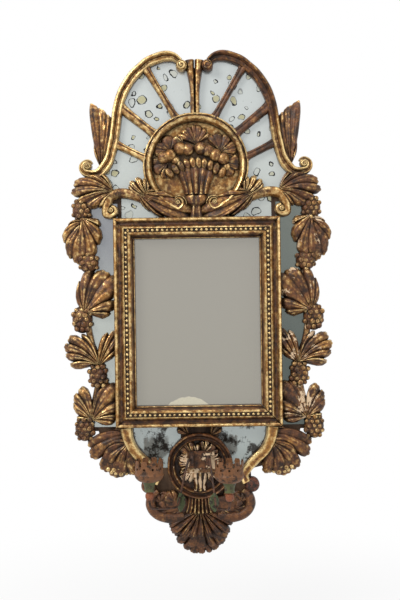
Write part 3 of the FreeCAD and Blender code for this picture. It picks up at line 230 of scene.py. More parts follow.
# ------------------------------------------------------------------ closed forms
@dataclass
class Form:
    """Closed shells gathered as one set of points, quads and triangles."""

    points: Array = field(default_factory=lambda: np.zeros((0, 3)))
    quads: Array = field(default_factory=lambda: np.zeros((0, 4), int))
    tris: Array = field(default_factory=lambda: np.zeros((0, 3), int))

    def add(self, *others: "Form") -> "Form":
        """Takes in other forms.

        Args:
            others: the forms to take in.

        Returns:
            This form.
        """
        for other in others:
            start = len(self.points)
            self.points = np.vstack([self.points, other.points])
            self.quads = np.vstack([self.quads, other.quads + start])
            self.tris = np.vstack([self.tris, other.tris + start])
        return self

    def mirrored(self) -> "Form":
        """Gives the same form on the other side of the middle, with its faces turned outwards again."""
        return Form(self.points * [-1, 1, 1], self.quads[:, ::-1], self.tris[:, ::-1])

    def by_hand(self, seed: int, amount: float = HAND) -> "Form":
        """Moves this form's points a little, as unsteady does, and gives the form back."""
        self.points = unsteady(self.points, amount, seed)
        return self

    def volume(self) -> float:
        """Works out the enclosed volume as the sum of the pyramids from the origin to each face."""
        corners = [self.points[self.tris[:, k]] for k in range(3)]
        total = np.einsum("ij,ij->i", corners[0], np.cross(corners[1], corners[2])).sum()
        for pick in ((0, 1, 2), (0, 2, 3)):
            corners = [self.points[self.quads[:, k]] for k in pick]
            total += np.einsum("ij,ij->i", corners[0], np.cross(corners[1], corners[2])).sum()
        return float(total) / 6.0


def stacked(loops: Array, ring: bool = False) -> Form:
    """Closes a stack of loops: quads between neighbours, and a fan of triangles over each end.

    Args:
        loops: rows of closed loops, shape (rows, places, 3).
        ring: the last loop joins the first, and there are no ends.

    Returns:
        The closed form, faces outwards.
    """
    rows, places = loops.shape[:2]
    index = np.arange(rows * places).reshape(rows, places)
    lower = index if ring else index[:-1]
    upper = np.roll(index, -1, axis=0) if ring else index[1:]
    quads = np.stack([lower, np.roll(lower, -1, 1), np.roll(upper, -1, 1), upper], axis=-1).reshape(-1, 4)
    points = loops.reshape(-1, 3)
    tris = np.zeros((0, 3), int)
    if not ring:
        points = np.vstack([points, loops[0].mean(0), loops[-1].mean(0)])
        first, last = index[0], index[-1]
        bottom = np.stack([np.roll(first, -1), first, np.full(places, rows * places)], axis=1)
        top = np.stack([last, np.roll(last, -1), np.full(places, rows * places + 1)], axis=1)
        tris = np.vstack([bottom, top])
    form = Form(points, quads, tris)
    if form.volume() < 0:
        form.quads, form.tris = form.quads[:, ::-1], form.tris[:, ::-1]
    return form


def band(path: Array, half: Array | float, height: Array | float, section: Array, low: float = 0.0) -> Form:
    """Carries a section along a path that lies flat on the boards.

    Args:
        path: (x, z) places.
        half: half width at each place.
        height: height at each place.
        section: (share of the half width, share of the height) points.
        low: level of the section's foot.

    Returns:
        The band.
    """
    along = unit(np.gradient(path, axis=0))
    across = np.stack([along[:, 1], -along[:, 0]], axis=1)
    half = np.broadcast_to(half, len(path))
    height = np.broadcast_to(height, len(path))
    place = path[:, None] + across[:, None] * (half[:, None] * section[:, 0])[..., None]
    return stacked(at(place[..., 0], low + height[:, None] * section[:, 1], place[..., 1]))


def tube(path: Array, radius: Array | float, sides: int = 12, ring: bool = False) -> Form:
    """Carries a circle along a path in space. The circle's first radius is kept square to the path
    and to one fixed sideways direction, the one that the path runs along least.

    Args:
        path: places, one row each.
        radius: radius at each place.
        sides: places round the circle.
        ring: the path closes on itself.

    Returns:
        The tube.
    """
    along = unit(np.roll(path, -1, 0) - np.roll(path, 1, 0) if ring else np.gradient(path, axis=0))
    least = np.eye(3)[np.argmin(np.abs(along).max(axis=0))]
    first = unit(np.cross(along, least))
    second = np.cross(along, first)
    around = full_turn(sides)
    radius = np.broadcast_to(radius, len(path))[:, None, None]
    circle = first[:, None] * np.cos(around)[:, None] + second[:, None] * np.sin(around)[:, None]
    return stacked(path[:, None] + radius * circle, ring)


def spun(section: Array, sides: int = 40) -> Form:
    """Turns a section round the upright axis at the origin.

    Args:
        section: (radius, level) points.
        sides: places round it.

    Returns:
        The turned form.
    """
    angles = full_turn(sides)
    level = np.broadcast_to(section[:, 1:], (len(section), sides))
    return stacked(np.stack([section[:, :1] * np.cos(angles), section[:, :1] * np.sin(angles), level], axis=-1))


def domed(centre: Sequence[float], profile: Array, sides: int) -> Form:
    """Turns a profile round an axis that stands out from the boards.

    Args:
        centre: (x, z) of the axis.
        profile: (radius, height) points.
        sides: places round it.

    Returns:
        The turned form.
    """
    angles = full_turn(sides)
    reach = profile[:, :1]
    return stacked(at(centre[0] + reach * np.cos(angles), profile[:, 1:], centre[1] + reach * np.sin(angles)))


def standing(x: Array, height: Array, z: Array, low: float) -> Form:
    """Closes a carved face down to a flat back at its first and last columns.

    Args:
        x: across, for each row and column.
        height: the face's height.
        z: level.
        low: level of the back.

    Returns:
        The closed form.
    """
    x, height, z = np.broadcast_arrays(x, height, z)
    ends = at(x[:, :1], low, z[:, :1]), at(x[:, -1:], low, z[:, -1:])
    return stacked(np.concatenate([ends[0], at(x, height, z), ends[1]], axis=1))


def balls(centres: Array, radii: Array, squash: float, sides: int, rings: int) -> Form:
    """Makes many balls at once from one ball of a few dozen faces.

    Args:
        centres: one row each.
        radii: one each.
        squash: share of the radius kept towards the room.
        sides: places round a ball.
        rings: loops from end to end.

    Returns:
        All the balls as one form.
    """
    slope = np.linspace(-math.pi / 2, math.pi / 2, rings + 2)[1:-1]
    around = full_turn(sides)
    loops = np.stack([np.cos(slope)[:, None] * np.cos(around), squash * np.sin(slope)[:, None] + 0 * around,
                      np.cos(slope)[:, None] * np.sin(around)], axis=-1)
    one = stacked(loops)
    size = len(one.points)
    points = (np.asarray(centres)[:, None] + np.asarray(radii)[:, None, None] * one.points).reshape(-1, 3)
    step = np.arange(len(centres))[:, None, None] * size
    return Form(points, (one.quads + step).reshape(-1, 4), (one.tris + step).reshape(-1, 3))


def leaf_face(stem: Sequence[float], angles: Array, reach: Array, lobes: int, height: float, low: float,
              bite: float, groove: float, curl: float, seed: int) -> Form:
    """Carves a leaf that spreads from its stem. Its reach is bitten where lobes meet, at some meetings
    more than at others; the face swells from the stem, is highest two thirds of the way out and curls
    down at the rim; narrow cuts run back from the bites, with fine veins between them, and the lines
    bend with the square of the way out.

    Args:
        stem: (x, z) of the stem.
        angles: directions across the leaf.
        reach: how far the leaf goes in each direction.
        lobes: number of lobes.
        height: highest point in front of the boards.
        low: level of the underside.
        bite: depth of the notches, as a share of the reach.
        groove: depth of the grooves, as a share of the height.
        curl: how far the lobes bend sideways, in degrees.
        seed: fixes the carver's unsteadiness.

    Returns:
        The leaf.
    """
    side = np.linspace(-1.0, 1.0, len(angles))
    out = np.linspace(0.04, 1.0, LEAF_ROWS)
    phase = lobes * (side + 1) / 2 + 0.14 * np.sin(1.5 * math.pi * side + seed)
    ridge = np.abs(np.sin(math.pi * phase))
    deep = 1.0 + 0.75 * np.sin(2.2 * np.floor(phase + 0.5) + seed)
    teeth = np.abs(np.sin(3 * math.pi * phase))
    reach = reach * (1.0 + 0.6 * bite - bite * deep * (1.0 - ridge**0.6) - 0.22 * bite * (1.0 - teeth))
    swell = 0.5 + 0.5 * np.sin(math.pi * np.clip(0.1 + 0.74 * out, 0.0, 1.0)) ** 0.9
    valley = (1.0 - ridge)[:, None] ** 2.2 * (0.35 + 0.65 * out) * (0.6 + 0.4 * deep)[:, None]
    veins = (0.5 - 0.5 * np.cos(6 * math.pi * phase))[:, None] * ridge[:, None] * out**1.3
    rim = 1.0 - 0.55 * np.clip((out - 0.84) / 0.16, 0.0, 1.0) ** 2
    edge = 1.0 - 0.4 * np.abs(side) ** 8
    wave = 0.1 * np.sin(2.3 * phase + seed)[:, None] * np.sin(math.pi * out)
    face = (height - low) * (swell * rim * edge[:, None] * (1.0 - groove * valley - 0.3 * groove * veins) * 0.95 + wave)
    bent = angles[:, None] + curl * out**2
    point = np.asarray(stem) + heading(bent) * (reach[:, None] * out)[..., None]
    return standing(point[..., 0], low + np.maximum(face, 1.0), point[..., 1], low).by_hand(seed)


def fan_leaf(stem: Sequence[float], angle: float, spread: float, length: float, lobes: int, height: float,
             low: float = 0.0, bite: float = 0.12, shoulder: float = 0.3, seed: int = 0, groove: float = 0.3,
             curl: float = 0.0) -> Form:
    """Carves an even fan: the reach falls off towards both sides by a square law.

    Args:
        stem: (x, z) of the stem.
        angle: the middle lobe's direction.
        spread: how far the lobes spread to each side.
        length: the middle lobe's reach.
        lobes: number of lobes.
        height: highest point in front of the boards.
        low: level of the underside.
        bite: depth of the notches, as a share of the reach.
        shoulder: how much shorter the outermost lobes are.
        seed: fixes the carver's unsteadiness.
        groove: depth of the grooves, as a share of the height.
        curl: how far the lobes bend sideways, in degrees.

    Returns:
        The leaf.
    """
    side = np.linspace(-1.0, 1.0, LOBE_PLACES * lobes + 1)
    return leaf_face(stem, angle + spread * side, length * (1.0 - shoulder * side**2), lobes, height, low, bite,
                     groove, curl, seed)


def cut_leaf(stem: Sequence[float], rim: Sequence[tuple[float, float]], lobes: int, height: float, low: float = 0.0,
             bite: float = 0.13, groove: float = 0.3, curl: float = 0.0, seed: int = 0) -> Form:
    """Carves a leaf of a given outline: the reach in each direction is read off the outline.

    Args:
        stem: (x, z) of the stem.
        rim: (x, z) steps from the stem to points of the outline, in order.
        lobes: number of lobes.
        height: highest point in front of the boards.
        low: level of the underside.
        bite: depth of the notches, as a share of the reach.
        groove: depth of the grooves, as a share of the height.
        curl: how far the lobes bend sideways, in degrees.
        seed: fixes the carver's unsteadiness.

    Returns:
        The leaf.
    """
    steps = np.asarray(rim, float)
    middle = steps.mean(axis=0)
    base = math.degrees(math.atan2(-middle[0], middle[1]))
    turns = np.degrees(np.arctan2(-steps[:, 0], steps[:, 1]))
    turns = base + np.mod(turns - base + 180.0, 360.0) - 180.0
    order = np.argsort(turns)
    angles = np.linspace(turns[order[0]], turns[order[-1]], LOBE_PLACES * lobes + 1)
    reach = np.interp(angles, turns[order], np.hypot(*steps.T)[order])
    window = np.hanning(9)[1:-1]
    reach = OVERCUT * np.convolve(np.pad(reach, 3, "edge"), window / window.sum(), "valid")
    return leaf_face(stem, angles, reach, lobes, height, low, bite, groove, curl, seed)


def grape_bunch(centre: Sequence[float], width: float, length: float, height: float, seed: int,
                grape: float = 5.5) -> Form:
    """Heaps grapes in closely packed rows over an oval mound. The mound's height falls off as the
    square root of one less the squared share of the way to its edge.

    Args:
        centre: (x, z) of the bunch.
        width: across.
        length: along.
        height: top of the highest grape.
        seed: fixes the small differences between grapes.
        grape: radius of a grape.

    Returns:
        The bunch and its mound.
    """
    rng = np.random.default_rng(seed)
    row, column = np.meshgrid(np.arange(-7, 8), np.arange(-7, 8), indexing="ij")
    x = (column + 0.5 * (row % 2)) * grape * 1.9
    z = row * grape * 1.66
    share = (x / (width / 2 - 0.55 * grape)) ** 2 + (z / (length / 2 - 0.55 * grape)) ** 2
    inside = share < 1.0
    x, z, share = x[inside], z[inside], share[inside]
    x, z = x + rng.normal(0, 1.0, x.size), z + rng.normal(0, 1.0, z.size)
    top = (height - grape) * (0.5 + 0.5 * np.sqrt(1.0 - share)) + rng.normal(0, 0.8, x.size)
    fruit = balls(at(centre[0] + x, top, centre[1] + z), grape * rng.uniform(0.82, 1.22, x.size), 1.0, 10, 6)
    shares = np.array([(0.9, 0.0), (0.9, 0.3), (0.75, 0.62), (0.5, 0.78), (0.2, 0.84)])
    around = full_turn(28)
    mound = at(centre[0] + shares[:, :1] * width / 2 * np.cos(around), height * shares[:, 1:] + 0 * around,
               centre[1] + shares[:, :1] * length / 2 * np.sin(around))
    return fruit.add(stacked(mound))


def half_fluted(stations: Sequence[tuple[float, float, float]], flutes: int, height: float, low: float = 0.0,
                depth: float = 0.2, count: int = 40, gap: float = 0.0) -> Form:
    """Carves an upright half-round form whose face is fluted. The face is half an ellipse across,
    less a rectified cosine for each flute.

    Args:
        stations: (level, half width, share of the height) from top to bottom.
        flutes: number of flutes across.
        height: greatest height.
        low: level of the flat back.
        depth: depth of the flutes as a share of the height.
        count: places along.
        gap: half the width of a crack left down the middle, which leaves the right half only.

    Returns:
        The fluted form.
    """
    line = flow(stations, count)
    side = np.linspace(0.0 if gap else -1.0, 1.0, LOBE_PLACES * flutes + 1)
    arch = np.sqrt(np.maximum(0.0, 1.0 - side**2 * 0.94))
    valley = np.abs(np.cos(math.pi * flutes * (side + 1) / 2)) ** 3
    face = height * line[:, 2:] * arch * (1.0 - depth * valley)
    return standing(gap + line[:, 1:2] * side, low + face, line[:, :1], low)


@dataclass(frozen=True)
class Spray:
    """One carved leaf: its stem, its outline as steps from the stem, lobes, height and curl."""

    stem: tuple[float, float]
    rim: tuple[tuple[float, float], ...]
    lobes: int
    height: float = 20.0
    curl: float = 0.0
    low: float = 0.0

    def carve(self, seed: int, lift: float = 0.0) -> Form:
        """Carves the leaf.

        Args:
            seed: fixes the carver's unsteadiness.
            lift: added to the stem's level.

        Returns:
            The leaf.
        """
        return cut_leaf((self.stem[0], self.stem[1] + lift), self.rim, self.lobes, self.height, self.low,
                        curl=self.curl, seed=seed)


# ------------------------------------------------------------------ nodes of the finishes
def paint(red: int, green: int, blue: int) -> Paint:
    """Turns a colour as a screen shows it, 0 to 255, into the linear light that a shader takes."""
    shown = np.array([red, green, blue]) / 255.0
    linear = np.where(shown <= 0.04045, shown / 12.92, ((shown + 0.055) / 1.055) ** 2.4)
    return (*(float(c) for c in linear), 1.0)


class Board:
    """A material's node tree, with the few nodes that the finishes are made from."""

    def __init__(self, name: str) -> None:
        """Starts a material.

        Args:
            name: the material's name.
        """
        self.material = bpy.data.materials.new(name)
        self.material.use_nodes = True
        self.tree = self.material.node_tree
        self.shader = self.tree.nodes["Principled BSDF"]
        self.place = self.tree.nodes.new("ShaderNodeTexCoord").outputs["Object"]

    def node(self, kind: str, inputs: dict[str | int, Input], **settings: str | bool | int) -> bpy.types.Node:
        """Adds a node.

        Args:
            kind: the node's type.
            inputs: what each input is: a number, a colour or another node's output.
            settings: the node's own settings.

        Returns:
            The node.
        """
        made = self.tree.nodes.new(kind)
        for name, value in settings.items():
            setattr(made, name, value)
        for name, value in inputs.items():
            self.feed(made.inputs[name], value)
        return made

    def feed(self, target: bpy.types.NodeSocket, value: Input) -> None:
        """Links an output to an input, or sets the input.

        Args:
            target: the input.
            value: a number, a colour or another node's output.
        """
        if isinstance(value, bpy.types.NodeSocket):
            self.tree.links.new(value, target)
        else:
            target.default_value = value

    def noise(self, scale: float, detail: float = 4.0, rough: float = 0.55, stretch: Triple | None = None,
              place: bpy.types.NodeSocket | None = None) -> bpy.types.NodeSocket:
        """Adds a noise in object space.

        Args:
            scale: features per metre.
            detail: number of finer layers.
            rough: strength of the finer layers.
            stretch: different scales along x, y and z.
            place: where to read it, if not plainly in object space.

        Returns:
            The noise's value.
        """
        place = place or self.place
        if stretch:
            place = self.node("ShaderNodeMapping", {"Vector": place, "Scale": stretch}).outputs[0]
        return self.node("ShaderNodeTexNoise", {"Vector": place, "Scale": scale, "Detail": detail,
                                                "Roughness": rough}).outputs["Fac"]

    def step(self, value: bpy.types.NodeSocket, low: float, high: float, start: float = 0.0,
             end: float = 1.0) -> bpy.types.NodeSocket:
        """Maps a stretch of a value smoothly to another stretch and holds it there outside.

        Args:
            value: what is mapped.
            low: value that becomes start.
            high: value that becomes end.
            start: result at and below low.
            end: result at and above high.

        Returns:
            The mapped value.
        """
        return self.node("ShaderNodeMapRange", {"Value": value, "From Min": low, "From Max": high, "To Min": start,
                                                "To Max": end}, interpolation_type="SMOOTHSTEP").outputs[0]

    def sums(self, kind: str, *values: Input) -> bpy.types.NodeSocket:
        """Adds a sum, product or the like.

        Args:
            kind: the operation.
            values: its numbers or outputs.

        Returns:
            The result.
        """
        return self.node("ShaderNodeMath", dict(enumerate(values)), operation=kind, use_clamp=False).outputs[0]

    def vector(self, kind: str, *values: Input) -> bpy.types.NodeSocket:
        """Adds a sum, product or the like of two places.

        Args:
            kind: the operation.
            values: its places or outputs.

        Returns:
            The resulting place.
        """
        return self.node("ShaderNodeVectorMath", dict(enumerate(values)), operation=kind).outputs[0]

    def away(self, place: bpy.types.NodeSocket) -> bpy.types.NodeSocket:
        """Gives a place's distance from the origin, in metres."""
        return self.node("ShaderNodeVectorMath", {0: place}, operation="LENGTH").outputs["Value"]

    def mix(self, share: Input, first: Input, second: Input) -> bpy.types.NodeSocket:
        """Mixes two colours.

        Args:
            share: how much of the second.
            first: a colour or output.
            second: a colour or output.

        Returns:
            The mixed colour.
        """
        return self.node("ShaderNodeMix", {0: share, 6: first, 7: second}, data_type="RGBA").outputs[2]

    def level(self, axis: str) -> bpy.types.NodeSocket:
        """Gives one of the object-space coordinates, in metres."""
        return self.node("ShaderNodeSeparateXYZ", {0: self.place}).outputs[axis]

    def shade(self, **inputs: Input) -> None:
        """Sets the shader's inputs, by name with underscores for spaces, from numbers or outputs."""
        for name, value in inputs.items():
            self.feed(self.shader.inputs[name.replace("_", " ")], value)

    def bump(self, height: bpy.types.NodeSocket, strength: float, distance: float) -> None:
        """Roughens the surface by a height.

        Args:
            height: the height's pattern.
            strength: how much of it shows.
            distance: depth in metres of a height of one.
        """
        made = self.node("ShaderNodeBump", {"Height": height, "Strength": strength, "Distance": distance})
        self.tree.links.new(made.outputs[0], self.shader.inputs["Normal"])


BOLE = paint(90, 55, 34)
BOLE_LIGHT = paint(134, 88, 52)
# Darkest colour: soot and the dirt in the hollows, and also the painted shade where other surfaces crowd close.
GRIME_AND_SHADE = paint(30, 19, 13)
GOLD = paint(164, 116, 60)
# Paler gold: burnished where rubbed, and a painted highlight on what stands out.
GOLD_BURNISH_AND_HIGHLIGHT = paint(232, 202, 142)
GESSO = paint(226, 198, 164)


@dataclass(frozen=True)
class WornGilding:
    """Water gilding over red-brown bole, rubbed back on what stands out, dirty in what lies deep, and chipped to the
    white ground here and there. It also carries painted shade where other surfaces crowd close, and a painted highlight
    of paler gold on what stands out.

    Attributes:
        name: the material's name.
        gold: more or less gold than an even share.
        edge: how much more gold the raised edges keep, and how much paler it is there, a painted highlight.
        shade_and_grime: how dark the hollows are with dirt, and how dark the painted shade is where other surfaces
            crowd close.
        chips: share of chips.
        shift: moves the pattern.
        bare_above: the level, in metres, above which the gold fades out, if there is one.
    """

    name: str
    gold: float = 0.0
    edge: float = 0.4
    shade_and_grime: float = 0.9
    chips: float = 0.0
    shift: float = 0.0
    bare_above: float | None = None

    def make(self) -> bpy.types.Material:
        """Builds the material.

        Returns:
            The material.
        """
        nodes = Board(self.name)
        moved = nodes.node("ShaderNodeMapping", {"Vector": nodes.place,
                                                 "Location": (self.shift, 0.37 * self.shift, 0.0)}).outputs[0]
        hollow = nodes.node("ShaderNodeAttribute", {}, attribute_name="hollow").outputs["Fac"]
        # Ambient occlusion, used below as painted shade where other surfaces crowd close.
        ambient_occlusion = nodes.node("ShaderNodeAmbientOcclusion", {"Distance": 0.014}, samples=6).outputs["AO"]
        patches = nodes.noise(34.0, 6.0, 0.6, place=moved)
        rubs = nodes.noise(110.0, 5.0, 0.68, place=moved)
        specks = nodes.noise(560.0, 3.0, 0.6, place=moved)
        soot = nodes.noise(52.0, 6.0, 0.7, place=moved)
        wear = nodes.sums("ADD", nodes.sums("MULTIPLY", patches, 0.55), nodes.sums("MULTIPLY", rubs, 0.45))
        raised = nodes.sums("MULTIPLY", hollow, -self.edge)
        if self.bare_above is not None:
            fade = nodes.step(nodes.level("Z"), self.bare_above, self.bare_above + 0.09, 0.0, -0.24)
            raised = nodes.sums("ADD", raised, fade)
        leaf = nodes.step(nodes.sums("ADD", nodes.sums("ADD", wear, raised), self.gold), 0.42, 0.64)
        # Dirt in the hollows, and painted shade from the ambient occlusion, both in the darkest colour.
        crevice = nodes.step(hollow, 0.1, 0.6)
        occlusion_shade = nodes.step(ambient_occlusion, 0.45, 0.98, 1.0, 0.0)
        dark = nodes.sums("MULTIPLY", nodes.sums("MAXIMUM", crevice, occlusion_shade), self.shade_and_grime)
        patina = nodes.mix(nodes.step(rubs, 0.38, 0.64), BOLE, BOLE_LIGHT)
        patina = nodes.mix(nodes.step(soot, 0.42, 0.6, 0.0, 0.8), patina, GRIME_AND_SHADE)
        # Paler gold where the gilding is rubbed, and on what stands out as a painted highlight.
        burnish_and_highlight = nodes.mix(nodes.step(nodes.sums("ADD", nodes.sums("ADD", rubs, raised), 0.5 * self.gold), 0.5, 0.76),
                            GOLD, GOLD_BURNISH_AND_HIGHLIGHT)
        coat = nodes.mix(leaf, patina, burnish_and_highlight)
        coat = nodes.mix(nodes.step(soot, 0.5, 0.66, 0.0, 0.45), coat, GRIME_AND_SHADE)
        coat = nodes.mix(nodes.step(specks, 0.54, 0.68, 0.0, 0.6), coat, BOLE)
        # Darkest colour over the hollows' dirt and the painted shade.
        coat = nodes.mix(dark, coat, GRIME_AND_SHADE)
        flakes = nodes.noise(30.0, 7.0, 0.72, place=moved)
        chip = nodes.step(nodes.sums("ADD", flakes, nodes.sums("MULTIPLY", hollow, -0.1)), 0.745 - 0.15 * self.chips,
                          0.757 - 0.15 * self.chips)
        coat = nodes.mix(chip, coat, GESSO)
        bare = nodes.sums("SUBTRACT", 1.0, nodes.sums("MAXIMUM", dark, chip))
        metal = nodes.sums("MULTIPLY", nodes.sums("MULTIPLY", leaf, bare), 0.7)
        gloss = nodes.sums("ADD", nodes.step(leaf, 0.0, 1.0, 0.4, 0.26), nodes.sums("MULTIPLY", specks, 0.14))
        nodes.shade(Base_Color=coat, Metallic=metal, Roughness=gloss, Specular_IOR_Level=0.35)
        relief = nodes.sums("ADD", nodes.sums("MULTIPLY", specks, 0.35), nodes.sums("SUBTRACT", rubs, chip))
        nodes.bump(relief, 0.5, 0.0009)
        return nodes.material


class Decay(Enum):
    """How the silvering of a plate has gone."""

    CLOUDED = "clouded"
    RINGS = "rings"
    BLACKENED = "blackened"


@dataclass(frozen=True)
class OldPlate:
    """A silvered plate that is tarnished behind the glass, its colour partly a painted reflection.

    Attributes:
        name: the material's name.
        low: colour at the lower end, partly a painted reflection.
        high: colour at the upper end, partly a painted reflection.
        decay: how the silvering has gone.
        foot: level of the lower end, in metres.
        head: level of the upper end, in metres.
        rough: how blurred its reflections are.
        residue: (x, z, radius) of a pale round stain, in metres, if there is one.
    """

    name: str
    low: Paint
    high: Paint
    decay: Decay
    foot: float
    head: float
    rough: float = 0.09
    residue: Triple | None = None

    def make(self) -> bpy.types.Material:
        """Builds the material.

        Returns:
            The material.
        """
        nodes = Board(self.name)
        slope = nodes.step(nodes.level("Z"), self.foot, self.head)
        cloud = nodes.noise(9.0, 5.0, 0.55)
        # Painted reflection: the colour runs from low to high up the plate, clouded by the tarnish.
        reflection_and_tarnish = nodes.mix(nodes.sums("ADD", nodes.sums("MULTIPLY", slope, 0.75), nodes.sums("MULTIPLY", cloud, 0.3)),
                           self.low, self.high)
        tarnish = nodes.noise(260.0, 3.0, 0.6)
        dull = nodes.step(cloud, 0.3, 0.75, self.rough, self.rough + 0.1)
        if self.decay is Decay.CLOUDED:
            spots = nodes.step(nodes.noise(45.0, 6.0, 0.7), 0.70, 0.78, 0.0, 0.5)
            reflection_and_tarnish = nodes.mix(spots, reflection_and_tarnish, paint(120, 112, 100))
        elif self.decay is Decay.RINGS:
            reflection_and_tarnish = self.ringed(nodes, reflection_and_tarnish)
        else:
            blots = nodes.step(nodes.noise(30.0, 9.0, 0.72), 0.5, 0.56)
            reflection_and_tarnish = nodes.mix(nodes.sums("MULTIPLY", blots, nodes.step(tarnish, 0.3, 0.5, 0.55, 0.95)), reflection_and_tarnish,
                               paint(38, 32, 26))
        metal = 0.75 if self.decay is Decay.CLOUDED else 0.55
        if self.residue:
            x, z, radius = self.residue
            flat = nodes.vector("MULTIPLY", nodes.vector("SUBTRACT", nodes.place, (x, 0.0, z)), (1.0, 0.0, 1.0))
            reach = nodes.away(flat)
            reach = nodes.sums("ADD", reach, nodes.sums("MULTIPLY", nodes.noise(120.0, 4.0), 0.006))
            reflection_and_tarnish = nodes.mix(nodes.step(reach, radius, radius + 0.0015, 0.85, 0.0), reflection_and_tarnish, paint(214, 208, 186))
        nodes.shade(Base_Color=reflection_and_tarnish, Metallic=metal, Roughness=dull)
        nodes.bump(cloud, 0.15, 0.0012)
        return nodes.material

    def ringed(self, nodes: Board, reflection_and_tarnish: bpy.types.NodeSocket) -> bpy.types.NodeSocket:
        """Adds the spots where damp has crept in: a black edge round a pale yellow middle.

        Args:
            nodes: the material's nodes.
            reflection_and_tarnish: colour of the sound silvering, with its painted reflection.

        Returns:
            The colour with its spots.
        """
        waver = nodes.node("ShaderNodeTexNoise", {"Vector": nodes.place, "Scale": 38.0, "Detail": 4.0}).outputs["Color"]
        shift = nodes.vector("ADD", waver, (-0.5, -0.5, -0.5))
        shift = nodes.node("ShaderNodeVectorMath", {0: shift, "Scale": 0.022}, operation="SCALE").outputs[0]
        place = nodes.vector("ADD", nodes.place, shift)
        parts = nodes.node("ShaderNodeSeparateXYZ", {0: place}).outputs
        flat = nodes.node("ShaderNodeCombineXYZ", {0: parts[0], 1: parts[2]}).outputs[0]
        cell = nodes.node("ShaderNodeTexVoronoi", {"Vector": flat, "Scale": 35.0, "Randomness": 0.85},
                          voronoi_dimensions="2D")
        away, pick = cell.outputs["Distance"], cell.outputs["Color"]
        chance = nodes.node("ShaderNodeSeparateColor", {0: pick}).outputs
        size = nodes.step(chance[1], 0.0, 1.0, 0.12, 0.3)
        off = nodes.sums("ABSOLUTE", nodes.sums("SUBTRACT", away, size))
        uneven = nodes.noise(70.0, 3.0)
        edge = nodes.step(nodes.sums("SUBTRACT", off, nodes.step(uneven, 0.35, 0.7, -0.012, 0.03)), 0.012, 0.035,
                          1.0, 0.0)
        there = nodes.step(chance[0], 0.22, 0.25)
        inside = nodes.step(nodes.sums("SUBTRACT", away, size), -0.06, 0.0, 1.0, 0.0)
        aged = nodes.mix(nodes.step(chance[2], 0.2, 0.9, 0.1, 0.85), reflection_and_tarnish, paint(186, 180, 136))
        reflection_and_tarnish = nodes.mix(nodes.sums("MULTIPLY", inside, there), reflection_and_tarnish, aged)
        reflection_and_tarnish = nodes.mix(nodes.sums("MULTIPLY", edge, there), reflection_and_tarnish, paint(34, 36, 38))
        flecks = nodes.step(nodes.noise(150.0, 5.0, 0.7), 0.68, 0.72, 0.0, 0.75)
        return nodes.mix(flecks, reflection_and_tarnish, paint(70, 68, 62))


@dataclass(frozen=True)
class OldPaint:
    """Paint that is worn through to a darker ground, on tin or on turned wood.

    Attributes:
        name: the material's name.
        coat: the paint.
        under: what shows where it is worn.
        wear: how much is worn, 0 to 1.
        metal: how metallic the worn places are.
        grain: scale of the wear, per metre.
    """

    name: str
    coat: Paint
    under: Paint
    wear: float = 0.4
    metal: float = 0.0
    grain: float = 110.0

    def make(self) -> bpy.types.Material:
        """Builds the material.

        Returns:
            The material.
        """
        nodes = Board(self.name)
        broad = nodes.noise(self.grain, 7.0, 0.68)
        fine = nodes.noise(self.grain * 6.0, 4.0, 0.6)
        bare = nodes.step(nodes.sums("ADD", broad, nodes.sums("MULTIPLY", fine, 0.25)), 0.78 - 0.35 * self.wear,
                          0.88 - 0.35 * self.wear)
        tone = nodes.mix(nodes.step(fine, 0.3, 0.7, 0.0, 0.35), self.coat, self.under)
        nodes.shade(Base_Color=nodes.mix(bare, tone, self.under), Metallic=nodes.sums("MULTIPLY", bare, self.metal),
                    Roughness=nodes.step(fine, 0.2, 0.8, 0.42, 0.68))
        nodes.bump(nodes.sums("SUBTRACT", fine, bare), 0.4, 0.0005)
        return nodes.material


@dataclass(frozen=True)
class OldBoards:
    """Plain old softwood, dark with age and kept darker still as painted shade for the gaps between the carvings, with
    its grain along the level or upright.

    Attributes:
        name: the material's name.
        upright: the grain runs up and down.
    """

    name: str
    upright: bool

    def make(self) -> bpy.types.Material:
        """Builds the material.

        Returns:
            The material.
        """
        nodes = Board(self.name)
        stretch = (1.0, 1.0, 0.07) if self.upright else (0.07, 1.0, 1.0)
        grain = nodes.noise(150.0, 6.0, 0.6, stretch=stretch)
        broad = nodes.noise(26.0, 3.0, 0.5, stretch=stretch)
        stain = nodes.noise(12.0, 5.0, 0.6)
        # Dark colours, the near-black stains most of all: the boards' age, and painted shade for the gaps between the
        # carvings.
        wood = nodes.mix(nodes.step(grain, 0.35, 0.7), paint(84, 60, 40), paint(50, 34, 24))
        wood = nodes.mix(nodes.step(broad, 0.4, 0.62, 0.0, 0.6), wood, paint(102, 76, 52))
        wood = nodes.mix(nodes.step(stain, 0.42, 0.62, 0.0, 0.7), wood, paint(34, 24, 18))
        nodes.shade(Base_Color=wood, Roughness=nodes.step(grain, 0.2, 0.8, 0.62, 0.82))
        nodes.bump(grain, 0.5, 0.0006)
        return nodes.material


@dataclass(frozen=True)
class Iron:
    """Forged iron, brown with age."""

    name: str = "forged_iron"

    def make(self) -> bpy.types.Material:
        """Builds the material.

        Returns:
            The material.
        """
        nodes = Board(self.name)
        rust = nodes.noise(90.0, 7.0, 0.7)
        hammer = nodes.noise(170.0, 2.0, 0.5)
        coat = nodes.mix(nodes.step(rust, 0.42, 0.62), paint(58, 47, 42), paint(96, 62, 42))
        nodes.shade(Base_Color=coat, Metallic=nodes.step(rust, 0.42, 0.62, 0.75, 0.1),
                    Roughness=nodes.step(rust, 0.3, 0.7, 0.42, 0.74))
        nodes.bump(nodes.sums("ADD", hammer, nodes.sums("MULTIPLY", rust, 0.5)), 0.5, 0.0006)
        return nodes.material


def once(finish: WornGilding | OldPaint | Iron) -> bpy.types.Material:
    """Gives a field whose material is made when the set of finishes is."""
    return field(default_factory=finish.make)


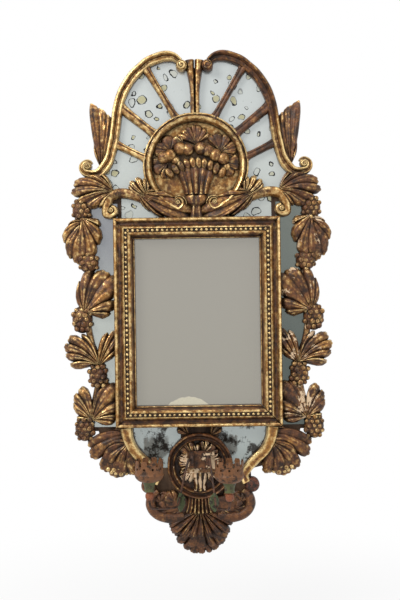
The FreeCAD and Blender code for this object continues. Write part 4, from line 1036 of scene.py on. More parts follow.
@dataclass
class Finishes:
    """Every finish, made once."""

    bright: bpy.types.Material = once(WornGilding("gilding_bright", 0.09, 0.4, 0.75, 0.05, 0.1))
    warm: bpy.types.Material = once(WornGilding("gilding_warm", -0.03, 0.42, 0.85, 0.12, 0.4))
    dull: bpy.types.Material = once(WornGilding("gilding_dull", -0.08, 0.3, 0.85, 0.15, 0.9))
    berry: bpy.types.Material = once(WornGilding("gilding_berry", -0.12, 0.2, 0.9, 0.1, 0.6))
    dark: bpy.types.Material = once(WornGilding("gilding_dark", -0.17, 0.24, 0.8, 0.15, 1.6))
    chipped: bpy.types.Material = once(WornGilding("gilding_chipped", -0.06, 0.36, 0.85, 1.05, 2.3))
    ruined: bpy.types.Material = once(WornGilding("gilding_ruined", -0.16, 0.3, 0.88, 1.2, 3.1))
    moulding: bpy.types.Material = once(WornGilding("gilding_moulding", 0.03, 0.42, 0.62, 0.34, 4.2))
    rail: bpy.types.Material = once(WornGilding("gilding_rail", -0.04, 0.42, 0.75, 0.4, 5.3))
    faded: bpy.types.Material = once(WornGilding("gilding_faded", 0.03, 0.4, 0.8, 0.1, 1.1, 0.36))
    iron: bpy.types.Material = once(Iron())
    salmon: bpy.types.Material = once(OldPaint("salmon_paint", paint(128, 82, 44), paint(56, 36, 22), 0.42, 0.3))
    green_tin: bpy.types.Material = once(OldPaint("green_tin_paint", paint(76, 88, 48), paint(44, 38, 28), 0.5, 0.3))
    socket: bpy.types.Material = once(OldPaint("socket_tin", paint(96, 78, 62), paint(46, 38, 32), 0.5, 0.6))
    green_wood: bpy.types.Material = once(OldPaint("green_wood_paint", paint(86, 92, 50), paint(60, 48, 30), 0.4))
    bole: bpy.types.Material = once(OldPaint("bole_paint", paint(112, 60, 40), paint(42, 28, 20), 0.55, 0.2))
    red_wood: bpy.types.Material = once(OldPaint("red_wood_paint", paint(150, 84, 48), paint(80, 44, 30), 0.35))


# ------------------------------------------------------------------ making pieces
def link(name: str, data: bpy.types.ID) -> bpy.types.Object:
    """Makes an object from its data and puts it in the scene."""
    made = bpy.data.objects.new(name, data)
    bpy.context.scene.collection.objects.link(made)
    return made


def hollows(mesh: bpy.types.Mesh) -> None:
    """Writes how hollow the surface is at each point: the mean step to its neighbours, measured along
    the surface's normal and set against their distance, averaged twice with the neighbours' own. What
    faces the wall counts as hollow, since no gilder reached it.

    Args:
        mesh: the mesh that gets the attribute.
    """
    count = len(mesh.vertices)
    points = np.empty(count * 3)
    mesh.vertices.foreach_get("co", points)
    points = points.reshape(-1, 3)
    normals = np.empty(count * 3)
    mesh.vertex_normals.foreach_get("vector", normals)
    normals = normals.reshape(-1, 3)
    edges = np.empty(len(mesh.edges) * 2, int)
    mesh.edges.foreach_get("vertices", edges)
    edges = edges.reshape(-1, 2)
    a, b = np.concatenate([edges[:, 0], edges[:, 1]]), np.concatenate([edges[:, 1], edges[:, 0]])
    step = points[b] - points[a]
    length = np.maximum(np.linalg.norm(step, axis=1), 1e-7)
    rise = np.einsum("ij,ij->i", step, normals[a]) / length
    share = np.maximum(np.bincount(a, minlength=count), 1)
    bent = np.bincount(a, rise, minlength=count) / share
    for _ in range(2):
        bent = 0.5 * bent + 0.5 * np.bincount(a, bent[b], minlength=count) / share
    reach = np.bincount(a, length, minlength=count) / share
    hollow = np.clip(bent * HOLLOW_GAIN * np.clip(HOLLOW_STEP / np.maximum(reach, 1e-6), 0.3, 2.0), -1.0, 1.0)
    hollow = np.where(normals[:, 1] > 0.5, 1.0, hollow)
    mesh.attributes.new("hollow", "FLOAT", "POINT").data.foreach_set("value", hollow.astype(np.float32))


def piece(name: str, form: Form, body: Body, finish: bpy.types.Material, nodes: Sequence[str],
          crease: float = CREASE) -> None:
    """Makes one piece of the model.

    Args:
        name: the piece's name.
        form: its shells, in millimetres.
        body: the body that it rides on.
        finish: its material.
        nodes: the solids that it stands for.
        crease: edges sharper than this stay sharp.
    """
    mesh = bpy.data.meshes.new(name)
    mesh.from_pydata(form.points * MM, [], form.quads.tolist() + form.tris.tolist())
    work = bmesh.new()
    work.from_mesh(mesh)
    bmesh.ops.remove_doubles(work, verts=work.verts, dist=2e-6)
    bmesh.ops.dissolve_degenerate(work, edges=work.edges, dist=1e-7)
    work.to_mesh(mesh)
    work.free()
    mesh.validate()
    mesh.polygons.foreach_set("use_smooth", np.ones(len(mesh.polygons), bool))
    mesh.set_sharp_from_angle(angle=math.radians(crease))
    mesh.materials.append(finish)
    hollows(mesh)
    made = link(name, mesh)
    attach(made, body.value)
    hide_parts(*nodes)
    LOG.info("%s: %d faces, for %s", name, len(mesh.polygons), ", ".join(nodes))


def carved(name: str, form: Form, finish: bpy.types.Material, node: str, crease: float = CREASE) -> None:
    """Makes a gilded piece of the mirror itself, for one solid.

    Args:
        name: the piece's name.
        form: its shells.
        finish: its material.
        node: the solid.
        crease: edges sharper than this stay sharp.
    """
    piece(name, form, Body.MIRROR, finish, [node], crease)


def pair(name: str, form: Form, finishes: tuple[bpy.types.Material, bpy.types.Material],
         part: str = "carved") -> None:
    """Makes a carved piece on the left and its like on the right, each for its own solid.

    Args:
        name: the solids' name without its side.
        form: the left piece.
        finishes: the left and the right material.
        part: what the pieces' names begin with.
    """
    for side, shape, finish in (("left", form, finishes[0]), ("right", form.mirrored(), finishes[1])):
        node = f"{name}_{side}"
        carved(f"{part}_{node}", shape, finish, node)


# ------------------------------------------------------------------ main frame
@dataclass
class MainFrame:
    """The mitred moulding round the main plate, and its strings of beads.

    Attributes:
        width: the moulding's width.
        bead: radius of a bead.
        pitch: from bead to bead.
        bead_line: where the beads run, in from the outer edge.
        bed: height of the groove that they lie in.
    """

    width: float = 41.5
    bead: float = 3.3
    pitch: float = 9.8
    bead_line: float = 25.4
    bed: float = 26.2

    def section(self) -> Array:
        """Gives the moulding's (in from the outer edge, height) section.

        Returns:
            The section's points: a rounded outer edge, a hollow, an ogee, the bead groove and a long hollow.
        """
        w = self.width
        return moulded([
            [(0.0, 0.0), (0.0, 20.0)],
            [(0.0, 20.0), (0.5, 25.4), (2.6, 28.6), (5.2, 29.0), (7.2, 27.4)],
            [(7.6, 26.6), (7.8, 24.2)],
            [(8.2, 24.6), (9.8, 23.0), (12.4, 22.6), (15.0, 24.0), (17.2, 26.6), (19.0, 29.0), (20.8, 30.2)],
            [(21.4, 30.0), (21.8, self.bed)],
            [(28.8, self.bed), (29.1, 28.6)],
            [(29.1, 28.6), (30.6, 29.9), (33.2, 29.4), (35.0, 27.0)],
            [(35.4, 25.0), (36.4, 19.0), (37.8, 14.4), (39.4, 12.4)],
            [(39.6, 12.8), (40.6, 13.0), (w, 12.2)],
            [(w, 12.2), (w, 0.0)],
        ])

    def sides(self) -> dict[str, tuple[Array, Array, Array]]:
        """Gives each side's start corner, end corner and direction inwards, by the solid's name."""
        left, right, top, bottom = -FRAME_SIDE, FRAME_SIDE, FRAME_TOP, FRAME_BOTTOM
        corners = {
            "frame_rail_top": ((left, top), (right, top), (0, -1)),
            "frame_rail_bottom": ((left, bottom), (right, bottom), (0, 1)),
            "frame_stile_left": ((left, bottom), (left, top), (1, 0)),
            "frame_stile_right": ((right, bottom), (right, top), (-1, 0)),
        }
        return {name: tuple(np.array(part, float) for part in side) for name, side in corners.items()}

    def bar(self, start: Array, end: Array, inward: Array, crack: tuple[float, float], seed: int) -> Form:
        """Carries the section along one side, cut at half a right angle at both ends.

        Args:
            start: outer corner at one end.
            end: outer corner at the other.
            inward: direction in.
            crack: how far each end's joint has opened.
            seed: fixes the carver's unsteadiness.

        Returns:
            The bar.
        """
        section = self.section()
        length = np.linalg.norm(end - start)
        along = (end - start) / length
        share = np.linspace(0.0, 1.0, 90)[:, None]
        reach = crack[0] + section[:, 0] + share * (length - 2 * section[:, 0] - crack[0] - crack[1])
        place = start + along * reach[..., None] + inward * section[:, 0][None, :, None]
        form = stacked(at(place[..., 0], section[:, 1] + 0 * share, place[..., 1]))
        form.points[:, 1] = unsteady(form.points, 0.45, seed)[:, 1]
        form.points[:, 1] = np.minimum(form.points[:, 1], BOARD_FACE)
        return form

    def beads(self) -> Form:
        """Strings beads along the groove of all four sides, each a little different.

        Returns:
            All the beads.
        """
        rng = np.random.default_rng(5)
        spots = []
        for start, end, inward in self.sides().values():
            length = np.linalg.norm(end - start)
            along = (end - start) / length
            run = length - 2 * self.bead_line
            count = round(run / self.pitch)
            reach = self.bead_line + (np.arange(count) + 0.5) * run / count
            spots.append(start + along * reach[:, None] + inward * self.bead_line)
        places = np.vstack(spots) + rng.normal(0, 0.15, (sum(len(s) for s in spots), 2))
        radii = self.bead * rng.uniform(0.93, 1.05, len(places))
        return balls(at(places[:, 0], self.bed + 0.6, places[:, 1]), radii, 0.95, 12, 7)

    def build(self, finishes: Finishes) -> None:
        """Builds the bars and the beads.

        Args:
            finishes: the materials.
        """
        cracks = {"frame_rail_bottom": (0.25, 0.9), "frame_stile_right": (0.9, 0.25)}
        for seed, (name, side) in enumerate(self.sides().items()):
            bar = self.bar(*side, cracks.get(name, (0.25, 0.25)), seed)
            finish = finishes.rail if "rail" in name else finishes.moulding
            carved(name.replace("frame", "moulding"), bar, finish, name, 30.0)
        carved("frame_beads", self.beads(), finishes.dull, "frame_beading")


# ------------------------------------------------------------------ crest
SCROLL_SECTION = moulded([
    [(-1.0, 0.0), (-1.0, 0.45)],
    [(-1.0, 0.45), (-0.95, 0.78), (-0.72, 0.97), (-0.42, 0.97), (-0.16, 0.8), (0.0, 0.6)],
    [(0.04, 0.62), (0.3, 0.6), (0.62, 0.66), (0.9, 0.56), (1.0, 0.34)],
    [(1.0, 0.34), (1.0, 0.0)],
])
ROUND_SECTION = moulded([
    [(-1.0, 0.0), (-1.0, 0.3)],
    [(-1.0, 0.3), (-0.9, 0.7), (-0.5, 0.97), (0.0, 1.0), (0.5, 0.92), (0.88, 0.66), (1.0, 0.3)],
    [(1.0, 0.3), (1.0, 0.0)],
], 11)
FLAT_SECTION = moulded([
    [(-1.0, 0.0), (-1.0, 0.5)],
    [(-1.0, 0.5), (-0.94, 0.82), (-0.72, 0.97), (-0.4, 0.94), (0.0, 0.86), (0.4, 0.86), (0.74, 0.88), (0.94, 0.72),
     (1.0, 0.42)],
    [(1.0, 0.42), (1.0, 0.0)],
], 10)
RING_SECTION = moulded([
    [(-1.0, 0.0), (-1.0, 0.42)],
    [(-1.0, 0.42), (-0.94, 0.56), (-0.7, 0.6), (-0.46, 0.56)],
    [(-0.42, 0.48), (-0.34, 0.7), (-0.16, 0.9), (0.16, 1.0), (0.5, 0.94), (0.82, 0.7), (1.0, 0.34)],
    [(1.0, 0.34), (1.0, 0.0)],
])
REED_SECTION = moulded([
    [(-1.0, 0.0), (-1.0, 0.3)],
    [(-1.0, 0.3), (-0.92, 0.7), (-0.6, 0.97), (-0.2, 1.0), (0.2, 0.86)],
    [(0.26, 0.8), (0.46, 0.86), (0.74, 0.8), (0.94, 0.56), (1.0, 0.3)],
    [(1.0, 0.3), (1.0, 0.0)],
])


@dataclass
class Crest:
    """The fan-shaped crest: two arches, ribs, the medallion with its basket of fruit, and the leaves.

    Attributes:
        arch_half: half the arch band's width.
        arch_height: how far the arch stands out.
        medallion: outer radius of the medallion's ring.
        rim: width of the ring.
        ring_height: how far the ring stands out.
        floor: height of the medallion's floor.
        rib_lines: directions of each rib's two ends from the crest's centre, and its half width.
        eye: the left side scroll's eye.
        head: where the arch's ball sits, out from the middle.
        scroll_end: places of the arch's line that belong to its side scroll.
    """

    arch_half: float = 10.0
    arch_height: float = 22.0
    medallion: float = 106.5
    rim: float = 18.5
    ring_height: float = 22.0
    floor: float = 6.0
    rib_lines: tuple[Triple, ...] = ((21.5, 26.5, 6.6), (52.0, 51.5, 8.6), (81.0, 74.0, 7.4))
    eye: tuple[float, float] = (-216.5, 1.0)
    head: float = 27.0
    scroll_end: int = 60

    def above(self, points: Sequence[Sequence[float]]) -> Array:
        """Lifts (x, z) points from the crest's centre to where they are."""
        return np.asarray(points, float) + [0.0, CREST_CENTRE]

    def arch_line(self) -> Array:
        """Gives the left arch's line, from its side scroll up to the middle.

        Returns:
            The (x, z) places.
        """
        wound = winding(self.eye, 30.0, 235.0, 7.5, 14.5, 9)
        run = ((-200.0, -14.5), (-187.0, -6.0), (-175, 13), (-166, 45), (-161, 75), (-157, 105), (-151, 133),
               (-139, 160), (-119, 187), (-92, 209), (-66, 219), (-44, 219), (-self.head - 2.0, 209))
        return flow(self.above(np.vstack([wound, run])), 190)

    def arch(self) -> Form:
        """Carves the left arch with its side scroll and its ball.

        Returns:
            The arch.
        """
        line = self.arch_line()
        share = np.linspace(0.0, 1.0, len(line))
        half = self.arch_half * (0.42 + 0.58 * np.clip(share / 0.2, 0, 1) ** 0.8)
        half *= 1.0 - 0.35 * np.clip((share - 0.93) / 0.07, 0, 1)
        rail = band(line, half, self.arch_height * (0.82 + 0.18 * np.clip(share / 0.2, 0, 1)), SCROLL_SECTION)
        rail.by_hand(11)
        button = self.button(self.above([self.eye])[0], 8.0, self.arch_height)
        ball = self.button(self.above([(-self.head + 1.0, 200.0)])[0], 11.5, self.arch_height + 4.0)
        return rail.add(button, ball)

    @staticmethod
    def button(centre: Sequence[float], radius: float, height: float) -> Form:
        """Carves a round button with a coil on its face: a dome with one winding groove.

        Args:
            centre: (x, z).
            radius: its radius.
            height: its top.

        Returns:
            The button.
        """
        shares = flow([(1.0, 0.0), (1.0, 0.55), (0.93, 0.78), (0.76, 0.93), (0.5, 1.0), (0.2, 1.0)], 18)
        around = full_turn(32)
        wind = np.mod(shares[:, :1] * 2.0 + around / (2 * math.pi), 1.0)
        groove = 0.07 * np.exp(-((wind - 0.5) / 0.12) ** 2) * (shares[:, :1] < 0.86)
        reach = radius * shares[:, :1]
        return stacked(at(centre[0] + reach * np.cos(around), height * (shares[:, 1:] - groove),
                          centre[1] + reach * np.sin(around)))

    def ring(self) -> Form:
        """Carves the ring round the medallion, which is open below and curls in at both ends.

        Returns:
            The ring.
        """
        middle = self.medallion - self.rim / 2
        sweep = np.arange(0.0, 149.0, 12.0)
        side = np.stack([-middle * np.sin(np.radians(sweep)), middle * np.cos(np.radians(sweep))], axis=1)
        curl = winding((-37.0, -74.0), -95.0, 250.0, 15.0, 6.5, 9)
        left = np.vstack([side, curl])
        line = flow(self.above(np.vstack([left[::-1], left[1:] * [-1, 1]])), 260)
        share = np.abs(np.linspace(-1.0, 1.0, len(line)))
        half = self.rim / 2 * (1.0 - 0.55 * np.clip((share - 0.8) / 0.2, 0, 1))
        ring = band(line, half, self.ring_height, RING_SECTION)
        ring.by_hand(12)
        buttons = [self.button(self.above([(side * 37.0, -74.0)])[0], 6.5, self.ring_height) for side in (-1, 1)]
        return ring.add(*buttons)

    def disc(self) -> Form:
        """Carves the medallion's floor, slightly dished, with a shallow worn wave.

        Returns:
            The floor.
        """
        edge = self.medallion - self.rim - 0.5
        shares = np.array([(1.0, 0.0), (1.0, 1.0), (0.97, 1.12), (0.9, 1.1), (0.75, 0.95), (0.5, 0.85), (0.02, 0.8)])
        return domed((0.0, CREST_CENTRE), shares * [edge, self.floor], 96)

    def rib(self, near: float, far: float, half: float) -> Form:
        """Carves one rib of the left half, from the ring out to the arch. It flares at both ends as the
        eighth power of the way from its middle.

        Args:
            near: direction of its end at the ring.
            far: direction of its end at the arch.
            half: half its width in the middle.

        Returns:
            The rib.
        """
        line = self.arch_line()[self.scroll_end:] - [0.0, CREST_CENTRE]
        bearing = np.degrees(np.arctan2(-line[:, 0], line[:, 1]))
        reach = float(np.hypot(*line[np.argmin(np.abs(bearing - far))]))
        ends = heading(near) * (self.medallion - 5.0), heading(far) * (reach - 2.0)
        path = self.above(ends[0] + (ends[1] - ends[0]) * np.linspace(0.0, 1.0, 30)[:, None])
        share = np.linspace(-1.0, 1.0, 30)
        form = band(path, half * (1.0 + 0.1 * share) + 4.0 * share**8 + 1.2 * share**2, 13.5, REED_SECTION)
        return form.by_hand(int(near))

    def upright(self) -> Form:
        """Carves the two half-round reeds in the middle, which flare upwards either side of the crack.

        Returns:
            Both reeds.
        """
        level = np.linspace(self.medallion - 5.0, 211.0, 60)
        share = (level - level[0]) / (level[-1] - level[0])
        width = 9.0 + 11.5 * np.clip((share - 0.35) / 0.65, 0.0, 1.0) ** 1.7
        path = self.above(np.stack([0.35 + width / 2, level], axis=1))
        reed = band(path, width / 2, 14.0 + 5.0 * share, ROUND_SECTION)
        return Form().add(reed, reed.mirrored())

    def basket(self) -> list[Form]:
        """Carves the basket in two halves either side of the crack: body, foot, stem and roped rim.

        Returns:
            The shells.
        """
        c = CREST_CENTRE
        shells = []
        for stations, flutes, height, low in (
                (((c - 0, 44, 0.7), (c - 20, 36, 0.85), (c - 40, 28, 0.9), (c - 58, 23, 0.8)), 5, 16.0, self.floor),
                (((c - 57, 19, 0.7), (c - 62, 24, 0.95), (c - 68, 26, 1.0), (c - 75, 24, 0.95), (c - 81, 15, 0.7)),
                 2, 17.0, 3.0),
                (((c - 80, 12, 0.8), (c - 90, 14, 0.95), (FRAME_TOP + 0.5, 17, 1.0)), 2, 17.0, 0.0)):
            half = half_fluted(stations, flutes, height, low, 0.3, gap=0.45)
            shells += [half, half.mirrored()]
        count = 10
        share = np.linspace(-1.0, 1.0, count)
        x, z = 53.0 * share, c + 5.0 - 20.0 * share**2
        for k in range(count):
            tilt = heading(10.0 - 34.0 * share[k])
            path = np.array([x[k], z[k]]) + tilt * np.linspace(-11.5, 11.5, 12)[:, None]
            swell = 7.4 * np.sqrt(np.maximum(0.02, 1.0 - np.linspace(-1, 1, 12) ** 2))
            shells.append(band(path, swell, 5.5 + 0.95 * swell, ROUND_SECTION, self.floor + 3.0))
        return shells

    def fruit(self) -> Form:
        """Heaps the fruit in pairs, with leaves each side and a small shell of leaf on top.

        Returns:
            The fruit and leaves.
        """
        heap = np.array([(-64.0, 16.0, 12.5), (-51.0, 20.0, 12.5), (-31.0, 33.0, 13.0), (-15.0, 31.0, 12.5),
                         (10.0, 33.0, 13.0), (25.0, 28.0, 12.0), (40.0, 19.0, 13.0), (55.0, 12.0, 12.5),
                         (-40.0, 10.0, 9.0), (62.0, -4.0, 8.0)])
        centres = at(heap[:, 0], self.floor + 0.62 * heap[:, 2], CREST_CENTRE + heap[:, 1])
        form = balls(centres, heap[:, 2], 0.95, 24, 14)
        for base, angle, spread, length, lobes, height in (
                ((0.0, 42.0), 0.0, 66.0, 38.0, 7, 13.0), ((-52.0, 28.0), 30.0, 84.0, 32.0, 4, 14.5),
                ((48.0, 28.0), -34.0, 80.0, 36.0, 5, 14.5), ((-56.0, 6.0), 118.0, 58.0, 32.0, 3, 13.0),
                ((56.0, 6.0), -118.0, 58.0, 32.0, 3, 13.0), ((-24.0, 44.0), 44.0, 46.0, 22.0, 3, 12.0)):
            spot = self.above([base])[0]
            form.add(fan_leaf(spot, angle, spread, length, lobes, height, self.floor - 1.0, 0.16, 0.1,
                              int(angle) + 200, 0.3, 6.0))
        return form

    def shoulder(self) -> Form:
        """Carves the scroll from the frame's corner to the medallion, with its two leaves.

        Returns:
            The scroll.
        """
        eye = (-171.0, FRAME_TOP + 17.0)
        run = self.above([(-176.0, -66.0), (-166.0, -57.0), (-150.0, -54.0), (-128.0, -57.0), (-104.0, -66.0),
                          (-86.0, -78.0)])
        line = flow(np.vstack([winding(eye, 80.0, -240.0, 6.5, 12.5, 8), run]), 110)
        share = np.linspace(0.0, 1.0, len(line))
        form = band(line, 4.2 + 6.0 * np.clip(share / 0.35, 0, 1), 18.0, ROUND_SECTION)
        form.by_hand(14)
        form.add(self.button(eye, 6.5, 19.0))
        crocket = Spray((-94.0, -66.0), ((-40, 8), (-40, 24), (-32, 34), (-18, 36), (-6, 31), (0, 22)), 5, 22.0, -10.0,
                        3.0)
        wrap = Spray((-118.0, -54.0), ((22, 6), (42, 2), (60, -8), (78, -20), (92, -34), (98, -48), (90, -58),
                                       (72, -60), (54, -58), (38, -50), (22, -38), (6, -24)), 6, 25.0, 6.0)
        return form.add(crocket.carve(15, CREST_CENTRE), wrap.carve(16, CREST_CENTRE))

    def corner(self) -> Form:
        """Carves the broad leaf at the left corner.

        Returns:
            The leaf.
        """
        leaf = Spray((-166.0, -51.0), ((-8, 34), (-28, 40), (-48, 40), (-64, 34), (-74, 20), (-73, 4), (-66, -8),
                                       (-54, -18), (-36, -22), (-16, -20)), 7, 22.0, 12.0)
        return leaf.carve(18, CREST_CENTRE)

    def outer(self) -> Form:
        """Carves the upright leaf outside the left arch: long flutes, and a fold along its inner edge.

        Returns:
            The leaf.
        """
        blade = cut_leaf((-190.0, CREST_CENTRE - 6.0), ((12, 34), (18, 62), (24, 90), (14, 106), (2, 114), (-10, 122),
                                                        (-22, 126), (-22, 106), (-15, 80), (-13, 52), (-12, 26)),
                         4, 17.0, 0.0, 0.05, 0.34, 1.0, 20)
        fold = Spray((-186.0, 10.0), ((3, 22), (10, 48), (17, 70), (20, 84), (12, 88), (4, 66), (-2, 34)), 2, 17.5, 2.0,
                     2.0)
        return blade.add(fold.carve(21, CREST_CENTRE))

    def build(self, finishes: Finishes) -> None:
        """Builds the crest.

        Args:
            finishes: the materials.
        """
        arch = self.arch()
        carved("carved_arch_left", arch, finishes.bright, "crest_arch_left")
        carved("carved_arch_right", arch.mirrored(), finishes.faded, "crest_arch_right")
        carved("carved_ring", self.ring(), finishes.warm, "crest_ring")
        carved("carved_medallion", self.disc(), finishes.bright, "crest_disc")
        ribs = [self.rib(*line) for line in self.rib_lines]
        carved("carved_ribs_left", Form().add(*ribs), finishes.warm, "crest_ribs")
        carved("carved_ribs_right", Form().add(*[rib.mirrored() for rib in ribs]), finishes.dark, "crest_ribs")
        carved("carved_upright", self.upright(), finishes.dull, "crest_rib_centre")
        carved("carved_basket", Form().add(*self.basket()), finishes.dull, "basket")
        carved("carved_fruit", self.fruit(), finishes.dull, "basket_fruit")
        pair("crest_scroll", self.shoulder(), (finishes.warm, finishes.warm))
        pair("crest_corner_leaf", self.corner(), (finishes.warm, finishes.dull))
        pair("crest_leaf", self.outer(), (finishes.warm, finishes.dull))


# ------------------------------------------------------------------ garlands
@dataclass
class Garland:
    """Grapes and vine leaves down one side, carved in one length.

    Attributes:
        height: how far a bunch stands out.
        bunches: (x, z, width, length) of each bunch.
        sprays: the leaves.
    """

    height: float = 20.0
    bunches: tuple[tuple[float, float, float, float], ...] = (
        (-231.0, 227.0, 42.0, 52.0), (-219.0, 122.0, 44.0, 46.0), (-233.0, 8.0, 45.0, 62.0),
        (-203.0, -106.0, 40.0, 56.0), (-231.0, -212.0, 43.0, 56.0))
    sprays: tuple[Spray, ...] = (
        Spray((-231.0, 214.0), ((30, -2), (36, -18), (36, -46), (32, -62), (20, -74), (4, -76), (-12, -76), (-18, -60)),
              4, 21.0, -4.0),
        Spray((-226.0, 206.0), ((-6, 6), (-24, 4), (-40, -6), (-45, -24), (-44, -46), (-40, -64), (-26, -74),
                                (-10, -68), (-4, -44)), 5, 17.0, 12.0),
        Spray((-228.0, 20.0), ((-17, 20), (-20, 46), (-16, 68), (-2, 82), (16, 82), (32, 78), (46, 74), (58, 68),
                               (57, 50), (52, 36), (54, 22), (50, 8), (32, -6)), 6, 21.0, -8.0),
        Spray((-200.0, -84.0), ((-30, 2), (-44, 4), (-52, 18), (-52, 40), (-48, 56), (-32, 66), (-12, 64), (-2, 46)),
              5, 20.0, 16.0),
        Spray((-200.0, -86.0), ((-6, 42), (4, 62), (18, 68), (30, 66), (34, 54), (30, 36), (20, 14)), 4, 18.0, -8.0),
        Spray((-216.0, -194.0), ((-24, 2), (-28, 18), (-28, 38), (-20, 54), (-8, 62), (4, 58), (6, 40)), 4, 17.0, 10.0),
        Spray((-216.0, -194.0), ((-2, 44), (8, 64), (22, 72), (38, 68), (46, 54), (44, 34), (46, 18), (40, 0),
                                 (22, -8)), 5, 20.0, -10.0))

    def grapes(self) -> Form:
        """Carves the left garland's bunches.

        Returns:
            The bunches.
        """
        return Form().add(*[grape_bunch((x, z), width, length, self.height, 30 + seed)
                            for seed, (x, z, width, length) in enumerate(self.bunches)])

    def leaves(self) -> Form:
        """Carves the left garland's leaves and its stem.

        Returns:
            The leaves and the stem.
        """
        form = Form()
        for seed, leaf in enumerate(self.sprays):
            form.add(leaf.carve(40 + seed))
        stem = flow([(-226, 224), (-222, 160), (-218, 110), (-226, 30), (-212, -60), (-202, -110), (-218, -190)], 120)
        form.add(band(stem, 6.5, 11.0, ROUND_SECTION))
        return form

    def build(self, finishes: Finishes) -> None:
        """Builds both garlands.

        Args:
            finishes: the materials.
        """
        pair("garland", self.leaves(), (finishes.warm, finishes.chipped))
        pair("garland", self.grapes(), (finishes.berry, finishes.berry), "grapes")


